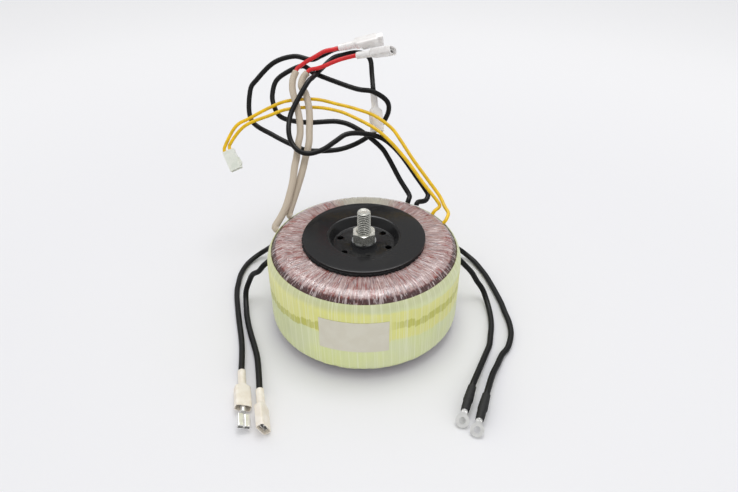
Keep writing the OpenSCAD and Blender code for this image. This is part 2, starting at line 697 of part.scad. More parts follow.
// ---- ring terminals and their heat-shrink tubes ----
module ring_terminal() {
    neck_w = 1.8 * ring_barrel_r;
    reach = ring_d / 2 + 1;
    cylinder(r = ring_barrel_r, h = ring_barrel_l, $fn = 32);
    translate([-neck_w / 2, -ring_t / 2, ring_barrel_l - 1]) cube([neck_w, ring_t, 1.2]);
    translate([0, 0, ring_barrel_l + 0.2]) {
        rotate([0, 90, 0]) cylinder(d = ring_t, h = neck_w, center = true, $fn = 24);
        rotate([90 + ring_bend, 0, 0]) linear_extrude(ring_t, center = true) difference() {
            union() {
                translate([-neck_w / 2, 0]) square([neck_w, reach]);
                translate([0, reach]) circle(d = ring_d);
            }
            translate([0, reach]) circle(d = eye_d);
        }
    }
}
module shrink_tube() {
    bore = table_lead_d / 2 + shrink_gap;
    r = bore + shrink_wall;
    rotate_extrude($fn = 32) polygon([
        [bore, -shrink_back], [r, -shrink_back], [r + 0.25, -8], [r + 0.45, -3.6], [r + 0.4, -2.6], [r + 0.15, -1.8],
        [r + 0.1, 2], [r - 0.1, shrink_front], [bore, shrink_front]
    ]);
}
module ring_terminal_1() {
    color("#cfd2d5") at_end(right_1_route, 90) ring_terminal();
}
module ring_terminal_2() {
    color("#cfd2d5") at_end(right_2_route, 90) ring_terminal();
}
module shrink_tube_1() {
    color("#1a1a1c") at_end(right_1_route, 90) shrink_tube();
}
module shrink_tube_2() {
    color("#1a1a1c") at_end(right_2_route, 90) shrink_tube();
}

// ---- plug housing of the yellow pair, which hangs with its rear face up ----
// End of a yellow lead in the housing: side -1 or 1
function contact_end(side) =
    let (f = frame_of(housing_way, housing_roll))
    housing_at + side * contact_pitch / 2 * f[0] + contact_in * f[2];
module plug_housing() {
    color("#eef0ea") placed(housing_at, housing_way, housing_roll) difference() {
        union() {
            translate([-housing_w / 2, -housing_t / 2, 0]) cube([housing_w, housing_t, housing_l]);
            // latch on the right-hand side: an arm with a ramp
            translate([housing_w / 2 - 0.5, housing_t / 4, housing_l - 3]) rotate([90, 0, 0])
                linear_extrude(housing_t / 2) polygon([[0, -5], [1.4, -4.2], [1.9, 0], [1, 1.2], [0, 1.6]]);
        }
        for (s = [-1, 1]) translate([s * contact_pitch / 2 - cavity / 2, -cavity / 2, -1])
            cube([cavity, cavity, housing_l + 2]);
    }
}
module contact() {
    cylinder(d = 1.8, h = 2.5, $fn = 24);
    translate([-contact_w / 2, -contact_w / 2, 2]) difference() {
        cube([contact_w, contact_w, contact_l - 2]);
        translate([contact_w / 4, contact_w / 4, 1.5]) cube([contact_w / 2, contact_w / 2, contact_l]);
    }
}
module yellow_contact_1() {
    color("#cda85a") at_end(yellow_1_route, housing_roll) contact();
}
module yellow_contact_2() {
    color("#cda85a") at_end(yellow_2_route, housing_roll) contact();
}

core();
core_wrap();
primary_winding();
layer_wrap();
secondary_winding();
outer_film();
side_tape();
label();
upper_pad();
lower_pad();
upper_washer();
lower_washer();
bolt();
spring_washer();
nut();
left_sleeve();
right_sleeve();
red_lead_1();
red_lead_2();
red_terminal_1();
red_terminal_2();
red_boot_1();
red_boot_2();
looped_lead_1();
looped_lead_2();
looped_terminal_1();
looped_terminal_2();
looped_boot_1();
looped_boot_2();
yellow_lead_1();
yellow_lead_2();
yellow_contact_1();
yellow_contact_2();
plug_housing();
left_lead_1();
left_lead_2();
left_terminal_1();
left_terminal_2();
left_boot_1();
left_boot_2();
right_lead_1();
right_lead_2();
ring_terminal_1();
ring_terminal_2();
shrink_tube_1();
shrink_tube_2();
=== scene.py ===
"""Dresses the solids of a toroidal transformer: film, tape, clamping kit, leads and their ends.

Lengths are in millimetres and angles in degrees, unless a docstring says otherwise.
Meshes are built in metres.
"""

from __future__ import annotations

import json
import logging
import math
from dataclasses import dataclass
from enum import Enum
from typing import Sequence

import bpy
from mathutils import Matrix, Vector, noise


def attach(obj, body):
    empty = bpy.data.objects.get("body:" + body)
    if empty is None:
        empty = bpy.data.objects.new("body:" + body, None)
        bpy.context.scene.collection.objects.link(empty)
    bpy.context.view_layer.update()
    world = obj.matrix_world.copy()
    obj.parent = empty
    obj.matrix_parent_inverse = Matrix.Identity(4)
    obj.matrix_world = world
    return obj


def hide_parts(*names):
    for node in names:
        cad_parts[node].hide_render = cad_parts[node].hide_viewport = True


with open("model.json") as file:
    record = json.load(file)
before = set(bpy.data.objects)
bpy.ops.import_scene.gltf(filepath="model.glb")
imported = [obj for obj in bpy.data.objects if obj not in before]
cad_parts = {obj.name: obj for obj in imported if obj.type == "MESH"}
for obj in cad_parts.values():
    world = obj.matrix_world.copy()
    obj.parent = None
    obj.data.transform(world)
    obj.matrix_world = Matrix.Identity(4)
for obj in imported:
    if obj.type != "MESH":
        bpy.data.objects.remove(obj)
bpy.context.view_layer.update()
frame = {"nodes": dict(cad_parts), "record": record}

MM = 0.001
RUN_MAP = "run"
WHITE = (1.0, 1.0, 1.0, 1.0)
Point = tuple[float, float, float]
Colour = tuple[float, float, float]
Span = tuple[float, float]
log = logging.getLogger("transformer")


def rgb(red: int, green: int, blue: int) -> Colour:
    """Linear colour of a display colour.

    Args:
        red, green, blue: display values from 0 to 255.

    Returns:
        The three linear components.
    """
    def linear(value: int) -> float:
        """One linear component."""
        v = value / 255
        return v / 12.92 if v <= 0.04045 else ((v + 0.055) / 1.055) ** 2.4

    return (linear(red), linear(green), linear(blue))


def darker(colour: Colour, share: float) -> Colour:
    """A colour at a share of its brightness."""
    return tuple(c * share for c in colour)


# ---------------------------------------------------------------- shader maths


class Sock:
    """A socket whose arithmetic adds Math nodes to its tree."""

    def __init__(self, nodes: "Nodes", socket: bpy.types.NodeSocket) -> None:
        """Wraps a socket of a node tree."""
        self.nodes = nodes
        self.socket = socket

    def math(self, operation: str, *values: "Sock | float") -> "Sock":
        """Adds one Math node.

        Args:
            operation: Blender's name of the operation.
            values: the node's inputs in order.

        Returns:
            The node's result.
        """
        return self.nodes.value("ShaderNodeMath", {"operation": operation}, dict(enumerate(values)))

    def __add__(self, other: "Sock | float") -> "Sock":
        """Sum."""
        return self.math("ADD", self, other)

    __radd__ = __add__

    def __sub__(self, other: "Sock | float") -> "Sock":
        """Difference."""
        return self.math("SUBTRACT", self, other)

    def __rsub__(self, other: float) -> "Sock":
        """Difference from a number."""
        return self.math("SUBTRACT", other, self)

    def __mul__(self, other: "Sock | float") -> "Sock":
        """Product."""
        return self.math("MULTIPLY", self, other)

    __rmul__ = __mul__

    def __truediv__(self, other: "Sock | float") -> "Sock":
        """Quotient."""
        return self.math("DIVIDE", self, other)

    def __rtruediv__(self, other: float) -> "Sock":
        """A number divided by the value."""
        return self.math("DIVIDE", other, self)

    def __pow__(self, other: float) -> "Sock":
        """Power."""
        return self.math("POWER", self, other)

    def __rpow__(self, other: float) -> "Sock":
        """A number raised to the value."""
        return self.math("POWER", other, self)

    def __abs__(self) -> "Sock":
        """Value without its sign."""
        return self.math("ABSOLUTE", self)

    def floor(self) -> "Sock":
        """Whole part."""
        return self.math("FLOOR", self)

    def fract(self) -> "Sock":
        """Part after the decimal point."""
        return self.math("FRACT", self)

    def sine(self) -> "Sock":
        """Sine of the value in radians."""
        return self.math("SINE", self)

    def angle(self, run: "Sock") -> "Sock":
        """Angle in radians of a slope that rises by this value over a run."""
        return self.math("ARCTAN2", self, run)

    def step(self, low: float, high: float) -> "Sock":
        """Smooth step.

        Args:
            low: value at which the result is 0.
            high: value at which the result is 1; it may be below low.

        Returns:
            The value mapped to 0..1 with soft ends.
        """
        return self.nodes.value(
            "ShaderNodeMapRange", {"interpolation_type": "SMOOTHSTEP"},
            {"Value": self, "From Min": low, "From Max": high, "To Min": 0.0, "To Max": 1.0},
        )


class Nodes:
    """A node tree under construction."""

    def __init__(self, tree: bpy.types.NodeTree) -> None:
        """Takes over a tree and empties it."""
        self.tree = tree
        tree.nodes.clear()

    def node(self, kind: str, settings: dict, inputs: dict) -> bpy.types.Node:
        """Adds one node.

        Args:
            kind: the node's type.
            settings: attributes that are set first.
            inputs: values or sockets by input name or index.

        Returns:
            The new node.
        """
        made = self.tree.nodes.new(kind)
        for key, value in settings.items():
            setattr(made, key, value)
        for key, value in inputs.items():
            if isinstance(value, Sock):
                self.tree.links.new(value.socket, made.inputs[key])
            else:
                made.inputs[key].default_value = value
        return made

    def value(self, kind: str, settings: dict, inputs: dict, output: int | str = 0) -> Sock:
        """Adds one node and wraps one of its outputs.

        Args:
            kind, settings, inputs: as for any node.
            output: name or index of the output.

        Returns:
            The output.
        """
        return Sock(self, self.node(kind, settings, inputs).outputs[output])


class Shader(Nodes):
    """A material under construction."""

    def __init__(self, name: str) -> None:
        """Starts an empty material with a Principled shader.

        Args:
            name: the material's name.
        """
        self.material = bpy.data.materials.new(name)
        self.material.use_nodes = True
        super().__init__(self.material.node_tree)
        self.surface = self.node("ShaderNodeBsdfPrincipled", {}, {})
        self.node("ShaderNodeOutputMaterial", {}, {"Surface": Sock(self, self.surface.outputs[0])})

    def place(self) -> Sock:
        """Position on the object in metres, which is its place in the frame."""
        return self.value("ShaderNodeTexCoord", {}, {}, "Object")

    def along(self) -> Sock:
        """The piece's own map: around and along, both in millimetres."""
        return self.value("ShaderNodeUVMap", {"uv_map": RUN_MAP}, {})

    def split(self, vector: Sock) -> tuple[Sock, Sock, Sock]:
        """Components of a vector."""
        made = self.node("ShaderNodeSeparateXYZ", {}, {0: vector})
        return tuple(Sock(self, made.outputs[k]) for k in range(3))

    def join(self, x: Sock | float, y: Sock | float, z: Sock | float) -> Sock:
        """Vector from three components."""
        return self.value("ShaderNodeCombineXYZ", {}, {0: x, 1: y, 2: z})

    def round_place(self) -> tuple[Sock, Sock, Sock, Sock]:
        """Place round the Z axis.

        Returns:
            The direction's x and y, then the distance from the axis and the height in millimetres.
        """
        x, y, z = self.split(self.place())
        radius = (x * x + y * y) ** 0.5
        return x / radius, y / radius, radius / MM, z / MM

    def noise(self, vector: Sock, scale: float, detail: float = 2.0, rough: float = 0.5) -> Sock:
        """Noise between 0 and 1.

        Args:
            vector: where the noise is read.
            scale: cells in one unit of the vector.
            detail: number of finer layers.
            rough: weight of the finer layers.

        Returns:
            The noise value.
        """
        inputs = {"Vector": vector, "Scale": scale, "Detail": detail, "Roughness": rough}
        return self.value("ShaderNodeTexNoise", {}, inputs)

    def mix(self, share: Sock | float, first: "Sock | Colour", second: "Sock | Colour") -> Sock:
        """Blend of two colours.

        Args:
            share: 0 gives the first colour, 1 the second.
            first, second: colours or colour sockets.

        Returns:
            The blended colour.
        """
        def full(value: "Sock | Colour") -> "Sock | tuple":
            """The colour with its fourth component."""
            return value if isinstance(value, Sock) else (*value, 1.0)

        return self.value(
            "ShaderNodeMix", {"data_type": "RGBA"}, {0: share, 6: full(first), 7: full(second)}, 2
        )

    def bump(self, height: Sock, depth: float, strength: float = 1.0) -> Sock:
        """Normal of a relief.

        Args:
            height: relief from 0 to 1.
            depth: depth of the relief in millimetres.
            strength: how fully the relief shows.

        Returns:
            The bent normal.
        """
        inputs = {"Height": height, "Distance": depth * MM, "Strength": strength}
        return self.value("ShaderNodeBump", {}, inputs)

    def set(self, **values: "Sock | float | Colour") -> bpy.types.Material:
        """Sets inputs of the surface, named with underscores for spaces.

        Args:
            values: a number, colour or socket for each input.

        Returns:
            The finished material.
        """
        for key, value in values.items():
            target = self.surface.inputs[key.replace("_", " ")]
            if isinstance(value, Sock):
                self.tree.links.new(value.socket, target)
            elif isinstance(value, tuple) and len(value) == 3 and target.type == "RGBA":
                target.default_value = (*value, 1.0)
            else:
                target.default_value = value
        return self.material


# ---------------------------------------------------------------- finishes


@dataclass(frozen=True)
class Pvc:
    """Extruded lead insulation."""

    name: str
    colour: Colour
    roughness: float = 0.35
    shine: float = 0.4
    relief: float = 0.12

    def material(self) -> bpy.types.Material:
        """Smooth plastic with faint mottling and drawn-in waviness.

        Returns:
            The material.
        """
        s = Shader(self.name)
        place = s.place()
        mottle = s.noise(place, 260, 3)
        dust = s.noise(place, 1500)
        waves = s.noise(place, 420)
        return s.set(
            Base_Color=s.mix(mottle.step(0.3, 0.7), self.colour, darker(self.colour, 0.8)),
            Roughness=self.roughness + 0.15 * dust,
            Normal=s.bump(waves, self.relief),
            Specular_IOR_Level=self.shine,
        )


@dataclass(frozen=True)
class Metal:
    """Plated metal part, with painted shade in the roots of a thread on the Z axis where it has one."""

    name: str
    colour: Colour
    roughness: float
    metallic: float = 1.0
    thread: bool = False
    grain: float = 900
    relief: float = 0.004
    # Colour and spans of the painted shade in a thread's roots.
    root_shade_colour: Colour = rgb(34, 36, 36)
    root_shade_depth: Span = (3.9, 3.4)
    root_shade_top: Span = (77.4, 77.0)

    def material(self) -> bpy.types.Material:
        """Plating with a fine uneven brightness.

        Returns:
            The material.
        """
        s = Shader(self.name)
        place = s.place()
        cloud = s.noise(place, 350, 4)
        fine = s.noise(place, self.grain)
        base = s.mix(cloud.step(0.35, 0.75), self.colour, darker(self.colour, 0.86))
        if self.thread:
            # The thread's roots darkened below its tip: painted shade.
            _, _, radius, height = s.round_place()
            root = radius.step(*self.root_shade_depth) * height.step(*self.root_shade_top)
            base = s.mix(root * 0.9, base, self.root_shade_colour)
        return s.set(
            Base_Color=base,
            Metallic=self.metallic,
            Roughness=self.roughness + 0.1 * fine,
            Normal=s.bump(fine, self.relief, 0.4),
        )


@dataclass(frozen=True)
class BlackPaint:
    """Baked paint on the dished washers."""

    name: str = "black_paint"
    colour: Colour = rgb(34, 34, 35)
    dust_colour: Colour = rgb(92, 92, 94)
    relief: float = 0.02

    def material(self) -> bpy.types.Material:
        """Near-black satin paint with a faint orange peel and fine dust.

        Returns:
            The material.
        """
        s = Shader(self.name)
        place = s.place()
        peel = s.noise(place, 700)
        dust = s.noise(place, 3500, 1).step(0.68, 0.8)
        cloud = s.noise(place, 60, 3)
        return s.set(
            Base_Color=s.mix(dust * 0.2, self.colour, self.dust_colour),
            Roughness=0.13 + 0.07 * cloud + 0.12 * dust,
            Normal=s.bump(peel, self.relief),
            Specular_IOR_Level=0.28,
        )


@dataclass(frozen=True)
class Streaks:
    """Noise drawn out down a wound skin.

    Around is its cells in one radian round the ring, down its cells in one millimetre down the skin.
    """

    around: float
    down: float
    layers: float = 2.0
    rough: float = 0.5
    start: float = 0.0

    def on(self, s: Shader, cx: Sock, cy: Sock, down: Sock) -> Sock:
        """The noise on a skin.

        Args:
            s: the material under construction.
            cx, cy: direction from the Z axis.
            down: distance down the skin in millimetres.

        Returns:
            The noise, from 0 to 1.
        """
        where = s.join(cx * self.around, cy * self.around, down * self.down + self.start)
        return s.noise(where, 1.0, self.layers, self.rough)


@dataclass(frozen=True)
class Stain:
    """A colour that covers a wound skin where its streaks are strong."""

    streaks: Streaks
    strong: Span
    share: float
    colour: Colour


@dataclass(frozen=True)
class WoundFilm:
    """Milky clear film over enamelled wire, wrinkled across the ring's section.

    How far down the skin a place lies is its distance from the axis less its height. The spans give
    where along that distance a change starts and ends, except back, which is on the direction's y.
    The deep span marks a band of painted shade below the top shoulder's highlight, and near-white
    streaks on the upper part of that shoulder are painted highlight.
    """

    name: str = "film_over_wire"
    wrinkles: Streaks = Streaks(46, 0.09, 3, 0.6)
    strands: Streaks = Streaks(150, 0.05, 2, 0.6)
    patches: Streaks = Streaks(5, 0.08, 3)
    grey: Stain = Stain(Streaks(70, 0.12, start=9), (0.54, 0.66), 0.7, rgb(112, 102, 108))
    pale: Stain = Stain(Streaks(90, 0.2, start=31), (0.58, 0.7), 0.85, rgb(236, 226, 226))
    rust: Stain = Stain(Streaks(9, 0.16, 4, 0.6, 57), (0.54, 0.68), 0.5, rgb(150, 72, 54))
    # Painted highlight: near-white streaks on the upper part of the top shoulder.
    painted_glint: Stain = Stain(Streaks(44, 0.1, start=71), (0.55, 0.64), 0.55, rgb(234, 218, 218))
    wires: tuple[Colour, Colour] = (rgb(88, 20, 20), rgb(172, 66, 50))
    hazes: tuple[Colour, Colour] = (rgb(206, 176, 170), rgb(162, 132, 132))
    # Wire and shade colours of the band of painted shade below the top shoulder.
    painted_shade_wire: Colour = rgb(70, 10, 12)
    deep_shade: Colour = rgb(52, 14, 14)
    back_colour: Colour = rgb(196, 196, 176)
    # Spans down the skin where the painted shade starts, and its darkest band.
    shoulder: Span = (-3.0, 4.0)
    deep: Span = (-4.0, -0.8)
    painted_glint_from: Span = (-9.0, -4.0)
    back: Span = (0.86, 0.99)
    relief: float = 1.6

    def material(self) -> bpy.types.Material:
        """Mauve haze over dark red strands, with streaks that run round the section, a band of painted shade
        below the top shoulder and painted highlight streaks on it.

        Returns:
            The material.
        """
        s = Shader(self.name)
        cx, cy, radius, height = s.round_place()
        down = radius - height

        def cover(stain: Stain) -> Sock:
            """Where a stain lies, from 0 to 1."""
            return stain.streaks.on(s, cx, cy, down).step(*stain.strong)

        wrinkle = self.wrinkles.on(s, cx, cy, down)
        strand = self.strands.on(s, cx, cy, down)
        patch = self.patches.on(s, cx, cy, down)
        # From the top shoulder down, more dark wire shows, most of all in the deep band: painted shade.
        lower, deep = down.step(*self.shoulder), down.step(*self.deep)
        clear = (wrinkle + 0.5 * patch + 0.12 * lower + 0.3 * deep - 0.12).step(0.6, 0.84)
        # The wire is darker red in the deep band: painted shade.
        wire = s.mix(deep * 0.8, s.mix(strand.step(0.35, 0.62), *self.wires), self.painted_shade_wire)
        base = s.mix(clear, s.mix(strand.step(0.4, 0.6), *self.hazes), wire)
        for stain in (self.grey, self.pale, self.rust):
            base = s.mix(cover(stain) * stain.share, base, stain.colour)
        # Dark red laid over the deep band, lighter where pale streaks cross it: painted shade.
        base = s.mix(deep * (0.62 - 0.6 * cover(self.pale)), base, self.deep_shade)
        # Near-white streaks only where the top shoulder mirrors the lamps: painted highlight.
        painted_glint = cover(self.painted_glint) * down.step(*self.painted_glint_from)
        base = s.mix(painted_glint * self.painted_glint.share, base, self.painted_glint.colour)
        base = s.mix(cy.step(*self.back) * 0.8, base, self.back_colour)
        return s.set(
            Base_Color=base,
            Roughness=0.12 + 0.14 * patch,
            Specular_IOR_Level=1.0,
            Coat_Weight=0.5,
            Coat_Roughness=0.08,
            Normal=s.bump(wrinkle * 0.7 + strand * 0.3, self.relief),
        )


@dataclass(frozen=True)
class SideTape:
    """Lime-yellow tape wound round the side over the film.

    The spans of the band and the upper end are heights. Those of the strip are heights above its own
    middle, except strip_side, which is on the size of the direction's x.
    """

    name: str = "side_tape"
    turns: int = 76
    turn_streaks: Streaks = Streaks(40, 0.02)
    rib_streaks: Streaks = Streaks(130, 0.015)
    slow_streaks: Streaks = Streaks(2.2, 0.04)
    ragged_streaks: Streaks = Streaks(26, 0.1, 4)
    limes: tuple[Colour, Colour] = (rgb(222, 230, 156), rgb(220, 226, 178))
    band_colour: Colour = rgb(234, 230, 122)
    turn_colour: Colour = rgb(206, 214, 172)
    upper_colour: Colour = rgb(196, 200, 158)
    strip_colour: Colour = rgb(190, 190, 72)
    rib_colour: Colour = rgb(242, 245, 218)
    edge_colour: Colour = rgb(244, 246, 222)
    turn_top: float = 54.0
    turn_slant: float = 0.35 / 47
    band_low: Span = (29.0, 31.5)
    band_high: Span = (51.5, 49.5)
    band_tilt: float = 5.5
    upper_from: Span = (47.5, 52.0)
    strip_height: float = 38.5
    strip_fall: float = 8.0
    strip_tilt: float = 1.8
    strip_low: Span = (-3.4, -2.4)
    strip_high: Span = (2.8, 1.8)
    strip_side: Span = (0.2, 0.42)
    relief: float = 0.3

    def material(self) -> bpy.types.Material:
        """Pale lime with a bright yellow band, grey-green ends, olive ragged strips and fine ribs.

        Returns:
            The material.
        """
        s = Shader(self.name)
        cx, cy, _, height = s.round_place()
        turns = cy.angle(cx) * (self.turns / math.tau) - (self.turn_top - height) * self.turn_slant
        shift = s.noise(s.join(turns.floor() * 1.73, 3.1, 0.0), 1.0, 1)
        turn, rib, slow, ragged = (
            streaks.on(s, cx, cy, height)
            for streaks in (self.turn_streaks, self.rib_streaks, self.slow_streaks, self.ragged_streaks)
        )
        wobble = (ragged - 0.5) * 5 + (shift - 0.5) * 9
        level = height + cx * self.band_tilt + wobble * 0.35
        band = level.step(*self.band_low) * level.step(*self.band_high)
        strip_level = height - self.strip_height + (abs(cx) - 0.35) * self.strip_fall - cx * self.strip_tilt
        strip = (strip_level + wobble * 0.9).step(*self.strip_low)
        strip = strip * (strip_level + wobble * 1.1).step(*self.strip_high) * abs(cx).step(*self.strip_side)
        edge = abs(turns.fract() - 0.5).step(0.4, 0.48)
        base = s.mix(slow.step(0.3, 0.7), *self.limes)
        for share, colour in (
            (band * 0.7, self.band_colour),
            (turn.step(0.35, 0.75) * 0.2, self.turn_colour),
            (height.step(*self.upper_from) * 0.75, self.upper_colour),
            (strip * 0.75, self.strip_colour),
            (rib.step(0.52, 0.7) * 0.45, self.rib_colour),
            (edge * 0.3, self.edge_colour),
        ):
            base = s.mix(share, base, colour)
        return s.set(
            Base_Color=base,
            Roughness=0.42 + 0.2 * slow,
            Coat_Weight=0.35,
            Coat_Roughness=0.2,
            Normal=s.bump(turn * 0.5 + rib * 0.5, self.relief, 0.6),
        )


@dataclass(frozen=True)
class Mottled:
    """Plain moulded, rubber, paper or cloth finish with its own grain."""

    name: str
    colour: Colour
    second: Colour
    roughness: float
    cells: float
    relief: float = 0.1
    subsurface: float = 0.0

    def material(self) -> bpy.types.Material:
        """Two close colours mixed by noise, with a matching relief.

        Returns:
            The material.
        """
        s = Shader(self.name)
        grain = s.noise(s.place(), self.cells, 4)
        return s.set(
            Base_Color=s.mix(grain.step(0.35, 0.65), self.colour, self.second),
            Roughness=self.roughness + 0.15 * (grain - 0.5),
            Normal=s.bump(grain, self.relief),
            Subsurface_Weight=self.subsurface,
            Subsurface_Radius=(1.0, 1.0, 1.0),
            Subsurface_Scale=MM,
        )


@dataclass(frozen=True)
class Woven:
    """Braided glass sleeve."""

    name: str = "braided_sleeve"
    # Darker colour in the gaps between the yarns: painted shade.
    gap_shade_colour: Colour = rgb(168, 150, 128)
    yarn_colour: Colour = rgb(222, 210, 192)
    soil_colour: Colour = rgb(186, 166, 144)
    yarns: float = 0.9
    relief: float = 0.18

    def material(self) -> bpy.types.Material:
        """Two crossing sets of yarns, darker in the gaps between them as painted shade.

        Returns:
            The material.
        """
        s = Shader(self.name)
        around, along, _ = s.split(s.along())
        left, right = (
            abs(((along + way * around) * (self.yarns * math.pi)).sine()) for way in (1, -1)
        )
        yarn = left * right
        soil = s.noise(s.place(), 120, 4)
        # The gaps between the yarns are darker: painted shade.
        base = s.mix(yarn.step(0.05, 0.6), self.gap_shade_colour, self.yarn_colour)
        return s.set(
            Base_Color=s.mix(soil.step(0.5, 0.8) * 0.35, base, self.soil_colour),
            Roughness=0.7 + 0.2 * soil,
            Normal=s.bump(yarn, self.relief),
        )


@dataclass(frozen=True)
class Floor:
    """Pale seamless table."""

    name: str = "floor"
    near: tuple[Colour, Colour] = (rgb(236, 236, 239), rgb(240, 240, 243))
    # Painted light: the floor turns brighter over this span of distance from the object.
    far_painted_light_colour: Colour = rgb(251, 251, 253)
    fade: Span = (200.0, 700.0)

    def material(self) -> bpy.types.Material:
        """Matt off-white with a very faint unevenness, painted brighter away from the object as painted light
        where the lamps light it less.

        Returns:
            The material.
        """
        s = Shader(self.name)
        cloud = s.noise(s.place(), 1.5)
        _, _, far, _ = s.round_place()
        return s.set(
            # Brighter away from the object, where the lamps fall off: painted light.
            Base_Color=s.mix(far.step(*self.fade), s.mix(cloud, *self.near), self.far_painted_light_colour),
            Roughness=0.8,
            Specular_IOR_Level=0.2,
        )


# ---------------------------------------------------------------- mesh tools


def polar(radius: float, turn: float, height: float) -> Point:
    """Point at a distance from the Z axis, its turn given in radians."""
    return (radius * math.cos(turn), radius * math.sin(turn), height)


def round_turns(columns: int) -> list[float]:
    """Equal turns round a ring in radians, from 0 on."""
    return [2 * math.pi * k / columns for k in range(columns)]


def ripple(fine: float, turn: float, shift: float) -> float:
    """Smooth noise from 0 to 1 round a ring, at a turn in radians."""
    return 0.5 + 0.5 * noise.noise(Vector(polar(fine, turn, shift)))


def mesh_object(
    name: str, points: Sequence[Point], faces: Sequence[Sequence[int]], material: bpy.types.Material,
    sharp: float | None = None,
) -> bpy.types.Object:
    """Makes an object from points in millimetres.

    Args:
        name: name of the object.
        points: corner positions in millimetres.
        faces: corner numbers of each face.
        material: its material.
        sharp: edges that bend by more than this many degrees stay sharp.

    Returns:
        The object, linked to the scene.
    """
    mesh = bpy.data.meshes.new(name)
    mesh.from_pydata([(p[0] * MM, p[1] * MM, p[2] * MM) for p in points], [], faces)
    mesh.validate()
    mesh.shade_smooth()
    if sharp is not None:
        mesh.set_sharp_from_angle(angle=math.radians(sharp))
    mesh.materials.append(material)
    made = bpy.data.objects.new(name, mesh)
    bpy.context.scene.collection.objects.link(made)
    return made


def ring_faces(rows: int, columns: int, closed_rows: bool = False) -> list[tuple[int, int, int, int]]:
    """Quads between rings of points.

    Args:
        rows: number of rings.
        columns: points in each ring, which closes on itself.
        closed_rows: whether the last ring joins the first.

    Returns:
        Corner numbers of each quad.
    """
    last = rows if closed_rows else rows - 1
    return [
        (i * columns + k, i * columns + (k + 1) % columns,
         (i + 1) % rows * columns + (k + 1) % columns, (i + 1) % rows * columns + k)
        for i in range(last) for k in range(columns)
    ]


def ride(piece: bpy.types.Object, node: str) -> bpy.types.Object:
    """Puts a piece on the body in place of a node.

    Args:
        piece: the new piece.
        node: the node that it stands for.

    Returns:
        The piece.
    """
    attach(piece, "root")
    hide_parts(node)
    return piece


# ---------------------------------------------------------------- routes


def smooth(route: Sequence[Vector], gap: float) -> list[Vector]:
    """Points on the smooth curve through a route.

    Args:
        route: its points.
        gap: largest distance from one result to the next.

    Returns:
        The points, both ends included.
    """
    out: list[Vector] = []
    last = len(route) - 1
    for i in range(last):
        a, b, c, d = route[max(i - 1, 0)], route[i], route[i + 1], route[min(i + 2, last)]
        n = max(1, math.ceil((c - b).length / gap))
        for k in range(n):
            t = k / n
            out.append((2 * b + (c - a) * t + (2 * a - 5 * b + 4 * c - d) * t * t
                        + (3 * b - a - 3 * c + d) * t ** 3) / 2)
    out.append(route[last].copy())
    return out


def frame_of(way: Vector, roll: float) -> tuple[Vector, Vector, Vector]:
    """Axes of a piece whose length lies along a direction.

    Args:
        way: the direction.
        roll: turn about it in degrees.

    Returns:
        The piece's x, y and z.
    """
    z = way.normalized()
    level = Vector((-z.y, z.x, 0)).normalized()
    x = level.cross(z)
    c, s = math.cos(math.radians(roll)), math.sin(math.radians(roll))
    return c * x + s * level, c * level - s * x, z


# ---------------------------------------------------------------- wound body


@dataclass(frozen=True)
class Station:
    """One place on a skin's section: where it lies, which way it faces and how freely it wrinkles."""

    radius: float
    height: float
    out: float
    up: float
    free: float = 1.0

    def point(self, turn: float, lift: float, rise: float = 0.0) -> Point:
        """Point of the skin.

        Args:
            turn: turn round the ring in radians.
            lift: distance above the section, along the way that it faces.
            rise: height added to that.

        Returns:
            The point.
        """
        return polar(self.radius + self.out * lift, turn, self.height + self.up * lift + rise)


